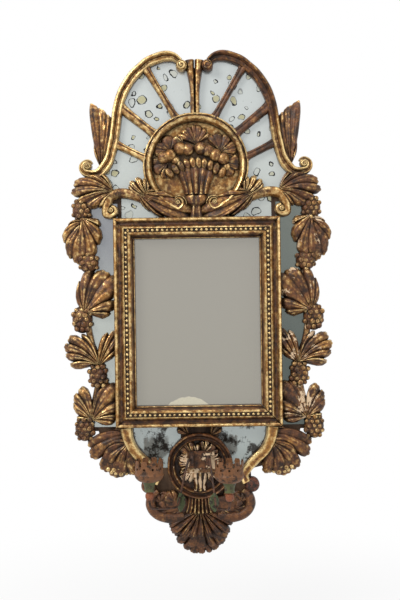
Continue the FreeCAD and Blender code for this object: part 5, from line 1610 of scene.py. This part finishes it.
# ------------------------------------------------------------------ apron
@dataclass
class Apron:
    """Everything carved below the frame, and the shell that ends it.

    Attributes:
        medallion: outer radius of the round dish.
        rim: width of its rim.
        rim_height: how far the rim stands out.
        floor: height of its floor.
        scroll_height: how far the scrolls stand out.
        face: height of the flat that the bracket is fixed to.
        collar_height: how far the fluted collar stands out.
    """

    medallion: float = 66.0
    rim: float = 16.0
    rim_height: float = 20.0
    floor: float = 4.0
    scroll_height: float = 20.0
    face: float = 18.0
    collar_height: float = 25.0

    @staticmethod
    def below(points: Sequence[Sequence[float]]) -> Array:
        """Drops (x, distance below the frame) points to where they are."""
        return np.asarray(points, float) * [1.0, -1.0] + [0.0, FRAME_BOTTOM]

    def dish(self) -> Form:
        """Carves the round dish with its rim.

        Returns:
            The dish.
        """
        out, rim, high = self.medallion, self.rim, self.rim_height
        section = moulded([
            [(out, 0.0), (out, 0.7 * high)],
            [(out, 0.7 * high), (out - 0.06 * rim, 0.92 * high), (out - 0.18 * rim, 0.98 * high),
             (out - 0.3 * rim, 0.86 * high)],
            [(out - 0.34 * rim, 0.74 * high), (out - 0.5 * rim, 0.62 * high), (out - 0.66 * rim, 0.68 * high)],
            [(out - 0.7 * rim, 0.84 * high), (out - 0.82 * rim, 0.92 * high), (out - 0.94 * rim, 0.7 * high),
             (out - rim, self.floor)],
            [(out - rim, self.floor), (1.0, self.floor)],
        ], 9)
        return domed((0.0, APRON_CENTRE), section, 96).by_hand(50, 0.6)

    def carving(self) -> Form:
        """Carves the worn basket and leaves inside the dish, round the flat for the bracket.

        Returns:
            The carving.
        """
        c = APRON_CENTRE
        flat = np.array([(-30.0, -14.0), (30.0, -14.0), (30.0, 30.0), (-30.0, 30.0)])
        rise = np.array([(1.0, self.floor), (1.0, self.face - 3.0), (0.94, self.face)])
        form = stacked(at(flat[:, 0] * rise[:, :1], rise[:, 1:] + 0 * flat[:, 0], c + 8.0 + (flat[:, 1] - 8.0)
                          * rise[:, :1]))
        form.add(half_fluted([(c - 12, 17, 0.9), (c - 26, 15, 1.0), (c - 40, 13, 0.95), (c - 50, 15, 0.9)], 3, 15.0,
                             self.floor, 0.25))
        for k, angle in enumerate((-128.0, -100.0, -74.0, -46.0, -16.0, 14.0, 44.0, 72.0, 98.0, 126.0)):
            spot = np.array([0.0, c + 6.0]) + heading(angle) * (17.0 if k % 2 else 20.0)
            lean = 12.0 if k % 2 else -9.0
            form.add(fan_leaf(spot, angle + lean, 44.0, 30.0 - 4.0 * (k % 3), 3, 20.0 - 3 * (k % 2),
                              self.floor - 1.0, 0.25, 0.2, 51 + k))
        return form

    def above_dish(self) -> Form:
        """Carves the small fluted leaves between the dish and the frame.

        Returns:
            The leaves, left and right.
        """
        form = Form()
        for side in (-1.0, 1.0):
            spot = self.below([(side * 22.0, 17.0)])[0]
            form.add(fan_leaf(spot, side * -40.0, 46.0, 26.0, 3, 17.0, 0.0, 0.15, 0.2, 70 + int(side)))
        return form

    def scroll(self) -> Form:
        """Carves the left scroll.

        Returns:
            The scroll.
        """
        line = flow(self.below([(-147.0, 1.0), (-143.0, 26.0), (-130.0, 50.0), (-111.0, 68.0), (-96.0, 84.0),
                                (-88.0, 100.0), (-92.0, 112.0)])[::-1], 90)
        half = 9.0 + 4.0 * np.linspace(0.0, 1.0, 90) ** 2
        rail = band(line, half, self.scroll_height + 4.0, FLAT_SECTION * [-1.0, 1.0])
        return rail.by_hand(80)

    def volute(self) -> Form:
        """Carves the coiled ball that the left scroll ends in."""
        return Crest.button(self.below([(-104.0, 118.0)])[0], 15.0, self.scroll_height + 1.0)

    def leaves(self) -> Form:
        """Carves the spreading leaves and the low bunch outside the left scroll.

        Returns:
            The leaves.
        """
        form = Form()
        for seed, leaf in enumerate((
                Spray((-138.0, -12.0), ((-6, 12), (-32, 12), (-60, 11), (-78, 5), (-83, -10), (-78, -32), (-66, -52),
                                        (-52, -68), (-30, -76), (-4, -70), (4, -40)), 7, 19.0, 12.0),
                Spray((-140.0, -30.0), ((-20, 14), (-42, 6), (-52, -10), (-46, -30), (-30, -46), (-10, -52), (4, -42)),
                      5, 22.5, 14.0, 5.0),
                Spray((-146.0, -54.0), ((-20, 0), (-28, -14), (-18, -32), (0, -42), (14, -36)), 4, 18.0, 10.0))):
            form.add(leaf.carve(81 + seed, FRAME_BOTTOM))
        return form.add(grape_bunch(self.below([(-163.0, 82.0)])[0], 58.0, 34.0, 17.0, 85))

    def lower(self) -> Form:
        """Carves the lower left scroll with the leafy ground inside it.

        Returns:
            The scroll and its ground.
        """
        line = flow(self.below([(-86.0, 128.0), (-94.0, 135.0), (-99.0, 146.0), (-99.0, 160.0), (-93.0, 171.0),
                                (-79.0, 180.0), (-56.0, 184.0), (-34.0, 182.0)]), 90)
        share = np.linspace(0.0, 1.0, 90)
        form = band(line, 7.5 + 3.7 * np.clip(share / 0.3, 0, 1), self.scroll_height, ROUND_SECTION)
        form.by_hand(86)
        ground = self.below([(-92.0, 140.0), (-92.0, 160.0), (-82.0, 174.0), (-56.0, 182.0), (-28.0, 180.0),
                             (-28.0, 146.0), (-50.0, 138.0), (-74.0, 131.0)])
        middle = ground.mean(0)
        around = flow(np.vstack([ground, ground[:1]]), 60)[:-1]
        rise = np.array([(1.0, 0.0), (1.0, 7.0), (0.85, 10.5), (0.5, 12.0), (0.05, 12.0)])
        place = middle + (around - middle) * rise[:, None, :1]
        form.add(stacked(at(place[..., 0], rise[:, 1:] + 0 * around[:, 0], place[..., 1])))
        for k, (x, z, angle, reach) in enumerate(((-80.0, 152.0, 20.0, 20.0), (-66.0, 168.0, 80.0, 26.0),
                                                 (-52.0, 150.0, 40.0, 22.0), (-44.0, 168.0, 160.0, 18.0))):
            form.add(fan_leaf(self.below([(x, z)])[0], angle, 64.0, reach, 3, 15.5, 4.0, 0.2, 0.2, 87 + k, 0.2))
        return form

    def collar(self) -> Form:
        """Carves the fluted collar above the shell.

        Returns:
            The collar.
        """
        top = APRON_CENTRE - self.medallion + 3.0
        return half_fluted([(top, 26, 0.75), (SHELL_TOP + 16, 29, 0.95), (SHELL_TOP + 6, 33, 1.0),
                            (SHELL_TOP + 0.5, 34, 0.8)], 8, self.collar_height, 0.0, 0.22)

    def shell(self) -> Form:
        """Carves the shell: three fluted fans that spread downwards, each lapping over the next.

        Returns:
            The shell.
        """
        fans = (
            (12.0, ((34, 10), (58, 26), (57, 38), (49, 49), (28, 55), (0, 57)), 9, 25.5),
            (-12.0, ((38, 10), (50, 25), (46, 37), (38, 46), (20, 52), (0, 54)), 7, 20.0),
            (-32.0, ((26, 10), (37, 24), (34, 32), (26, 39), (14, 43.5), (0, 45)), 7, 13.0),
        )
        form = Form()
        for seed, (lift, half, flutes, height) in enumerate(fans):
            rim = [(x, -z) for x, z in half] + [(-x, -z) for x, z in half[-2::-1]]
            form.add(cut_leaf((0.0, SHELL_TOP + lift), rim, flutes, height, 0.0, 0.09, 0.34, 0.0, 91 + seed))
        return form

    def build(self, finishes: Finishes) -> None:
        """Builds the apron.

        Args:
            finishes: the materials.
        """
        carved("carved_dish", self.dish().add(self.above_dish()), finishes.dark, "apron_medallion")
        carved("carved_dish_carving", self.carving(), finishes.ruined, "apron_carving")
        carved("carved_collar", self.collar(), finishes.dark, "apron_collar")
        carved("carved_shell", self.shell(), finishes.dark, "shell_pendant")
        pair("apron_scroll", self.scroll(), (finishes.bright, finishes.bright))
        pair("apron_scroll", self.volute(), (finishes.dark, finishes.bole), "volute")
        pair("apron_leaf", self.leaves(), (finishes.dull, finishes.dull))
        pair("lower_scroll", self.lower(), (finishes.dark, finishes.dark))


# ------------------------------------------------------------------ candle arms
@dataclass
class CandleArm:
    """One wrought arm: a bent wire with a sleeve, a tin leaf, a turned knob and stem, crown and socket.

    Attributes:
        side: left or right.
        body: the body that it rides on.
        reach: from the pin to the candle.
        wire: radius of the wire.
        sleeve: outer radius of the sleeve on the pin.
        sleeve_length: its length.
        knob_drop: the knob's underside, below the middle of the sleeve.
        knob: its radius.
        knob_length: its length.
        stem_length: length of the green stem.
        crown_length: length of the crown.
        bowl_length: length of the crown's bowl.
        rim: radius of the crown's upper edge.
        wall: thickness of the tin.
        points: number of the crown's points.
        cut_depth: how deep the cuts between them go, along the tin.
        eye: radius of the round eye at the foot of a cut.
        hole_drop: the row of holes, below the points' tips, along the tin.
        hole: radius of a hole.
        bore: inside radius of the candle socket.
        depth: depth of the socket.
    """

    side: str
    body: Body
    reach: float = 135.0
    wire: float = 2.25
    sleeve: float = 4.5
    sleeve_length: float = 20.0
    knob_drop: float = 55.0
    knob: float = 8.0
    knob_length: float = 16.0
    stem_length: float = 19.0
    crown_length: float = 41.0
    bowl_length: float = 14.0
    rim: float = 27.0
    wall: float = 1.2
    points: int = 10
    cut_depth: float = 8.5
    eye: float = 2.8
    hole_drop: float = 15.5
    hole: float = 2.2
    bore: float = 11.0
    depth: float = 26.0

    def __post_init__(self) -> None:
        """Reads from the frame where the pin is and which way the arm points at rest."""
        joint = next(j for j in frame["joints"] if j["child"] == self.body.value)
        self.pin = np.array(joint["pos_m"]) / MM
        low, high = box_mm(f"candle_nozzle_{self.side}")
        out = (low + high)[:2] / 2 - self.pin[:2]
        self.turn = math.atan2(out[1], out[0])

    def placed(self, form: Form) -> Form:
        """Swings a form that was drawn along +X from the pin to where the arm rests.

        Args:
            form: the form as drawn.

        Returns:
            The form in place.
        """
        c, s = math.cos(self.turn), math.sin(self.turn)
        spin = np.array([(c, s, 0.0), (-s, c, 0.0), (0.0, 0.0, 1.0)])
        return Form(form.points @ spin + self.pin, form.quads, form.tris)

    def on_end(self, form: Form) -> Form:
        """Moves a turned form from the origin to the arm's end."""
        return Form(form.points + [self.reach, 0.0, 0.0], form.quads, form.tris)

    @property
    def foot(self) -> float:
        """Level of the crown's underside."""
        return -self.knob_drop + self.knob_length + self.stem_length

    def wire_line(self) -> Array:
        """Gives the wire's line: down from the sleeve, out, and up through the knob.

        Returns:
            The places.
        """
        corners = [(3.0, 2.0), (9.0, 2.4), (14.0, -1.5), (30.0, -38.0), (43.0, -70.0), (49.0, -80.5), (60.0, -83.0),
                   (95.0, -78.0), (121.0, -73.4), (131.5, -69.5), (self.reach, -60.0), (self.reach, -45.0)]
        line = np.vstack([flow(corners, 120), [(self.reach, self.foot + self.wall)]])
        return np.stack([line[:, 0], 0 * line[:, 0], line[:, 1]], axis=1)

    def wires(self) -> Form:
        """Forges the wire and its rolled sleeve.

        Returns:
            The wire and the sleeve.
        """
        bore = self.sleeve - 1.9
        half = self.sleeve_length / 2
        section = [(bore, -half), (self.sleeve - 0.4, -half), (self.sleeve, -half + 0.5), (self.sleeve, half - 0.5),
                   (self.sleeve - 0.4, half), (bore, half)]
        around = full_turn(32)
        line = np.array(section)
        loops = np.stack([np.outer(np.cos(around), line[:, 0]), np.outer(np.sin(around), line[:, 0]),
                          np.broadcast_to(line[:, 1], (32, len(line)))], axis=-1)
        return tube(self.wire_line(), self.wire, 14).add(stacked(loops, True))

    def turned_knob(self) -> Form:
        """Turns the ball under the stem.

        Returns:
            The knob.
        """
        low, r, n = -self.knob_drop, self.knob, self.knob_length
        profile = [(0.5, low), (0.55 * r, low), (0.72 * r, low + 0.06 * n), (0.97 * r, low + 0.3 * n),
                   (r, low + 0.5 * n), (0.93 * r, low + 0.72 * n), (0.66 * r, low + 0.88 * n),
                   (0.74 * r, low + 0.95 * n), (0.7 * r, low + n), (0.5, low + n)]
        return self.on_end(spun(flow(profile, 44)))

    def turned_stem(self) -> Form:
        """Turns the flared green stem.

        Returns:
            The stem.
        """
        low, n = -self.knob_drop + self.knob_length, self.stem_length
        profile = [(0.5, low), (8.6, low), (9.2, low + 0.08 * n), (9.0, low + 0.3 * n), (10.0, low + 0.6 * n),
                   (12.4, low + 0.9 * n), (12.8, low + n), (0.5, low + n)]
        return self.on_end(spun(flow(profile, 40)))

    def socket(self) -> Form:
        """Makes the candle socket, a tin cup with a rolled edge.

        Returns:
            The socket.
        """
        low = self.foot + self.wall
        top, r = low + 1.5 + self.depth, self.bore
        line = np.array([(0.1, low), (r + 0.95, low), (r + 0.95, top - 1.6), (r + 1.25, top - 1.1),
                         (r + 1.25, top - 0.4), (r + 0.9, top), (r + 0.1, top), (r, top - 0.4), (r, low + 1.5),
                         (0.1, low + 1.5)])
        return self.on_end(spun(line, 48))

    def crown_line(self, rows: int) -> Array:
        """Gives the tin's (radius, level) line, from the bowl's middle up to the points.

        Args:
            rows: how many places to give.

        Returns:
            The places.
        """
        foot, bowl = self.foot, self.bowl_length
        return flow([(6.0, foot), (12.5, foot + 0.2), (19.0, foot + 2.2), (24.4, foot + 0.5 * bowl),
                     (26.6, foot + 0.85 * bowl), (27.3, foot + 0.95 * bowl), (26.3, foot + 1.08 * bowl),
                     (25.6, foot + 1.3 * bowl), (25.6, foot + 0.7 * self.crown_length),
                     (self.rim - 0.8, foot + self.crown_length)], rows)

    def sound_tin(self, line: Array, around: Array) -> Array:
        """Measures how far each place of the tin is from the nearest cut, eye or hole.

        Args:
            line: the tin's (radius, level) line.
            around: angle of each column.

        Returns:
            The distances, below nought inside a cut, an eye or a hole.
        """
        length = np.concatenate([[0.0], np.cumsum(np.hypot(*np.diff(line, axis=0).T))])
        cell = 2 * math.pi / self.points
        wedge = (np.mod(around / cell, 1.0) - 0.5) * cell * self.rim
        across, up = np.meshgrid(np.abs(wedge), length - length[-1], indexing="xy")
        half = cell * self.rim / 2
        hole = np.hypot(across, up + self.hole_drop) - self.hole
        eye = np.hypot(across - half, up + self.cut_depth) - self.eye
        cut = np.maximum(-up - self.cut_depth, half - across - 1.0 - 0.36 * (up + self.cut_depth))
        return np.minimum.reduce([hole, eye, cut])

    def crown(self) -> Form:
        """Cuts the crown out of thin tin: a bowl with a raised ring, and above it a band whose edge is
        cut into points, with a round eye at the foot of each cut and a row of holes. The sheet is a
        fine grid round the axis, and the cells inside a cut or a hole are left out.

        Returns:
            The crown, with both faces of the tin and its cut edges.
        """
        rows, columns = 72, 30 * self.points
        line = self.crown_line(rows)
        around = full_turn(columns)
        keep = self.sound_tin(line, around)
        inner = np.stack([line[:, :1] * np.cos(around), line[:, :1] * np.sin(around),
                          np.broadcast_to(line[:, 1:], (rows, columns))], axis=-1)
        outward = np.stack([np.cos(around), np.sin(around), 0 * around], axis=-1)
        slope = unit(np.gradient(line, axis=0))
        normal = outward[None] * slope[:, 1][:, None, None] - np.array([0, 0, 1.0]) * slope[:, 0][:, None, None]
        outer = inner + normal * self.wall * 0.7
        index = np.arange(rows * columns).reshape(rows, columns)
        a, b = index[:-1], np.roll(index, -1, 1)[:-1]
        c, d = np.roll(index, -1, 1)[1:], index[1:]
        whole = (keep[:-1] + keep[1:] + np.roll(keep, -1, 1)[:-1] + np.roll(keep, -1, 1)[1:]) / 4 > 0
        cells = np.stack([a, b, c, d], axis=-1)[whole]
        size = rows * columns
        sides = np.concatenate([cells[:, [k, (k + 1) % 4]] for k in range(4)])
        code = np.sort(sides, axis=1) @ [size, 1]
        _, first, count = np.unique(code, return_index=True, return_counts=True)
        rim = sides[first[count == 1]]
        edges = np.stack([rim[:, 1], rim[:, 0], rim[:, 0] + size, rim[:, 1] + size], axis=1)
        form = Form(np.vstack([outer.reshape(-1, 3), inner.reshape(-1, 3)]),
                    np.vstack([cells, cells[:, ::-1] + size, edges]))
        if form.volume() < 0:
            form.quads = form.quads[:, ::-1]
        used, form.quads = np.unique(form.quads, return_inverse=True)
        form.points, form.quads = form.points[used], form.quads.reshape(-1, 4)
        return self.on_end(form)

    def tin_leaf(self) -> Form:
        """Cuts the small painted tin leaf: pointed, folded down its middle and soldered to a collar.

        Returns:
            The leaf and its collar.
        """
        corners = np.array([(13.0, 2.0), (50.0, -84.0)])
        run = (corners[1] - corners[0]) / np.linalg.norm(corners[1] - corners[0])
        base = corners[0] + run * 66.0
        under = np.array([run[1], -run[0]])
        share = np.linspace(0.0, 1.0, 30)
        side = np.linspace(-1.0, 1.0, 17)
        half = 0.6 + 10.4 * np.sin(math.pi * share**0.8) ** 0.8 * (1.0 - 0.12 * np.abs(np.cos(3 * math.pi * share)))
        lift = 2.6 + 9.0 * share**1.6
        fold = 0.32 * half[:, None] * np.abs(side) ** 1.4 + 0.35 * np.cos(9 * math.pi * share)[:, None] * np.abs(side)
        middle = base + run * (34.0 * share)[:, None] + under * lift[:, None]
        flat = middle[:, None] + under * fold[..., None]
        sheet = np.stack([flat[..., 0], half[:, None] * side, flat[..., 1]], axis=-1)
        push = np.array([under[0], 0.0, under[1]]) * self.wall * 0.6
        leaf = stacked(np.concatenate([sheet, sheet[:, ::-1] + push], axis=1))
        line = np.stack([base[0] + run[0] * np.linspace(0, 7, 8), np.zeros(8), base[1] + run[1] * np.linspace(0, 7, 8)],
                        axis=1)
        return tube(line, self.wire + 1.1, 16).add(leaf)

    def build(self, finishes: Finishes) -> None:
        """Builds the arm.

        Args:
            finishes: the materials.
        """
        for label, form, slot, finish, node in (
                ("wire", self.wires(), Slot.IRON, finishes.iron, "candle_arm"),
                ("tin_leaf", self.tin_leaf(), Slot.GREEN_TIN, finishes.green_tin, "arm_leaf"),
                ("knob", self.turned_knob(), Slot.RED_WOOD, finishes.red_wood, "arm_knob"),
                ("stem", self.turned_stem(), Slot.GREEN_WOOD, finishes.green_wood, "candle_stem"),
                ("crown", self.crown(), Slot.SALMON, finishes.salmon, "drip_crown"),
                ("socket", self.socket(), Slot.SOCKET, finishes.socket, "candle_nozzle")):
            piece(f"{label}_{self.side}", self.placed(form), self.body, finish, [f"{node}_{self.side}"])


# ------------------------------------------------------------------ back, plates and hanger
@dataclass
class Ground:
    """Boards, battens, nails, plates and iron that keep their solids and get a finish.

    Attributes:
        ring_wire: radius of the hanging ring's wire.
    """

    ring_wire: float = 2.5

    def dress(self, name: str, finish: bpy.types.Material) -> None:
        """Gives a kept solid its finish.

        Args:
            name: the node.
            finish: the material.
        """
        solid = frame["nodes"][name]
        if not solid.data.materials:
            solid.data.materials.append(finish)
        for slot in solid.material_slots:
            slot.material = finish

    def ring(self) -> Form:
        """Forges the hanging ring where its solid is.

        Returns:
            The ring.
        """
        low, high = box_mm("hanging_ring")
        middle = (low + high) / 2
        radius = (high[0] - low[0]) / 2 - self.ring_wire
        around = full_turn(72)
        path = middle + radius * np.stack([np.cos(around), 0 * around, np.sin(around)], axis=1)
        return tube(path, self.ring_wire * (1.0 + 0.04 * np.sin(3 * around)), 14, True)

    def build(self, finishes: Finishes) -> None:
        """Dresses the kept solids and forges the ring.

        Args:
            finishes: the materials.
        """
        upright, level = OldBoards("board_upright", True).make(), OldBoards("board_level", False).make()
        for name in ("crest_board_left", "crest_board_right", "side_board_left", "side_board_right", "centre_board",
                     "apron_board"):
            self.dress(name, upright)
        self.dress("battens", level)
        for name in ("batten_nails", "pivot_pins", "hanging_staple"):
            self.dress(name, finishes.iron)
        self.dress("arm_bracket", finishes.ruined)
        # Each plate's two colours, lower end then upper end, are partly a painted reflection.
        for name, plate in (
                ("mirror_plate", OldPlate("plate_main", paint(164, 161, 151), paint(166, 163, 155), Decay.CLOUDED,
                                          -0.21, 0.21, 0.12, (-0.022, -0.211, 0.062))),
                ("side_plate_left", OldPlate("plate_left", paint(194, 200, 194), paint(146, 148, 154), Decay.CLOUDED,
                                             0.0, 0.18, 0.1)),
                ("side_plate_right", OldPlate("plate_right", paint(92, 100, 96), paint(126, 132, 126), Decay.CLOUDED,
                                              -0.1, 0.2, 0.1)),
                ("crest_plates", OldPlate("plate_crest", paint(196, 202, 198), paint(204, 210, 210), Decay.RINGS,
                                          0.2, 0.5, 0.14)),
                ("apron_plates", OldPlate("plate_apron", paint(150, 160, 158), paint(190, 198, 196), Decay.BLACKENED,
                                          -0.3, -0.2, 0.05))):
            self.dress(name, plate.make())
        piece("forged_ring", self.ring(), Body.RING, finishes.iron, ["hanging_ring"])


# ------------------------------------------------------------------ studio
@dataclass
class Studio:
    """Floor, lamps, white surroundings and the camera.

    Attributes:
        distance: from the camera to the carved front.
        front: level in depth of the carved front.
        middle: where the camera's axis meets it, (x, z).
        tall: angle of view from top to bottom.
        roll: how far the camera leans to its right.
        floor_drop: the floor, below the mirror's middle.
        floor_size: how wide the floor is.
    """

    distance: float = 1.92
    front: float = -0.05
    middle: tuple[float, float] = (0.0046, 0.044)
    tall: float = 34.7
    roll: float = 0.83
    floor_drop: float = 0.66
    floor_size: float = 9.0

    def camera(self) -> None:
        """Sets up the camera, straight on and rolled a little."""
        data = bpy.data.cameras.new("camera")
        data.sensor_fit = "VERTICAL"
        data.angle = math.radians(self.tall)
        made = link("camera", data)
        c, s = math.cos(math.radians(self.roll)), math.sin(math.radians(self.roll))
        made.matrix_world = Matrix(((c, s, 0.0, self.middle[0]), (0.0, 0.0, -1.0, self.front - self.distance),
                                    (-s, c, 0.0, self.middle[1]), (0.0, 0.0, 0.0, 1.0)))
        bpy.context.scene.camera = made

    def lamp(self, name: str, place: Triple, target: Triple, size: float, power: float, tint: Triple) -> None:
        """Hangs a square soft lamp.

        Args:
            name: its name.
            place: where it is, in metres.
            target: what it faces.
            size: its width.
            power: its watts.
            tint: its colour.
        """
        data = bpy.data.lights.new(name, "AREA")
        data.size, data.energy, data.color = size, power, tint
        made = link(name, data)
        back = np.array(place) - np.array(target)
        back /= np.linalg.norm(back)
        right = np.cross((0.0, 0.0, 1.0), back)
        right /= np.linalg.norm(right)
        up = np.cross(back, right)
        made.matrix_world = Matrix([[right[k], up[k], back[k], place[k]] for k in range(3)] + [[0, 0, 0, 1]])

    def seen_directly(self, tree: bpy.types.NodeTree) -> bpy.types.NodeSocket:
        """Adds up the camera, glossy and transmission rays, which see plain white.

        Args:
            tree: the node tree.

        Returns:
            One where the ray is any of these.
        """
        path = tree.nodes.new("ShaderNodeLightPath")
        total = path.outputs["Is Camera Ray"]
        for name in ("Is Glossy Ray", "Is Transmission Ray"):
            add = tree.nodes.new("ShaderNodeMath")
            add.operation = "ADD"
            add.use_clamp = True
            tree.links.new(total, add.inputs[0])
            tree.links.new(path.outputs[name], add.inputs[1])
            total = add.outputs[0]
        return total

    def surroundings(self, glow: float) -> None:
        """Sets the world: white where it is seen, and softer where it lights the mirror.

        Args:
            glow: strength of its light on the mirror.
        """
        world = bpy.data.worlds.new("surroundings")
        world.use_nodes = True
        bpy.context.scene.world = world
        tree = world.node_tree
        background = tree.nodes["Background"]
        background.inputs["Color"].default_value = (1.0, 1.0, 1.0, 1.0)
        strength = tree.nodes.new("ShaderNodeMapRange")
        strength.inputs["To Min"].default_value = glow
        strength.inputs["To Max"].default_value = 1.0
        tree.links.new(self.seen_directly(tree), strength.inputs["Value"])
        tree.links.new(strength.outputs[0], background.inputs["Strength"])

    def floor(self) -> None:
        """Lays a plain pale floor that reads white and keeps the mirror's shadow."""
        half = self.floor_size / 2
        mesh = bpy.data.meshes.new("floor")
        corners = [(-half, -half, -self.floor_drop), (half, -half, -self.floor_drop), (half, half, -self.floor_drop),
                   (-half, half, -self.floor_drop)]
        mesh.from_pydata(corners, [], [(0, 1, 2, 3)])
        made = link("floor", mesh)
        nodes = Board("pale_floor")
        tone = nodes.mix(nodes.noise(3.0), paint(236, 236, 235), paint(242, 242, 241))
        nodes.shade(Base_Color=tone, Roughness=0.9)
        plain = nodes.step(nodes.away(nodes.place), 0.4, 1.3, 0.82, 1.0)
        share = nodes.sums("MULTIPLY", self.seen_directly(nodes.tree), plain)
        glow = nodes.node("ShaderNodeEmission", {}).outputs[0]
        mixed = nodes.node("ShaderNodeMixShader", {0: share, 1: nodes.shader.outputs[0], 2: glow}).outputs[0]
        nodes.feed(nodes.tree.nodes["Material Output"].inputs["Surface"], mixed)
        mesh.materials.append(nodes.material)

    def build(self) -> None:
        """Builds the studio."""
        self.camera()
        self.surroundings(0.3)
        self.floor()
        self.lamp("key", (-1.7, -1.9, 1.7), (0.0, 0.0, 0.05), 1.0, 58.0, (1.0, 0.97, 0.92))
        self.lamp("fill", (1.9, -1.7, 0.2), (0.0, 0.0, 0.0), 1.4, 9.0, (0.95, 0.97, 1.0))
        self.lamp("top", (0.3, -0.6, 2.0), (0.0, 0.0, 0.1), 1.2, 12.0, (1.0, 1.0, 1.0))
        bpy.context.scene.view_settings.view_transform = "Standard"


def main() -> None:
    """Builds the studio and every piece."""
    logging.basicConfig(level=logging.INFO, format="%(name)s %(message)s")
    Studio().build()
    finishes = Finishes()
    Ground().build(finishes)
    MainFrame().build(finishes)
    Crest().build(finishes)
    Garland().build(finishes)
    Apron().build(finishes)
    CandleArm("left", Body.ARM_LEFT).build(finishes)
    CandleArm("right", Body.ARM_RIGHT).build(finishes)


if __name__ == "__main__":
    main()
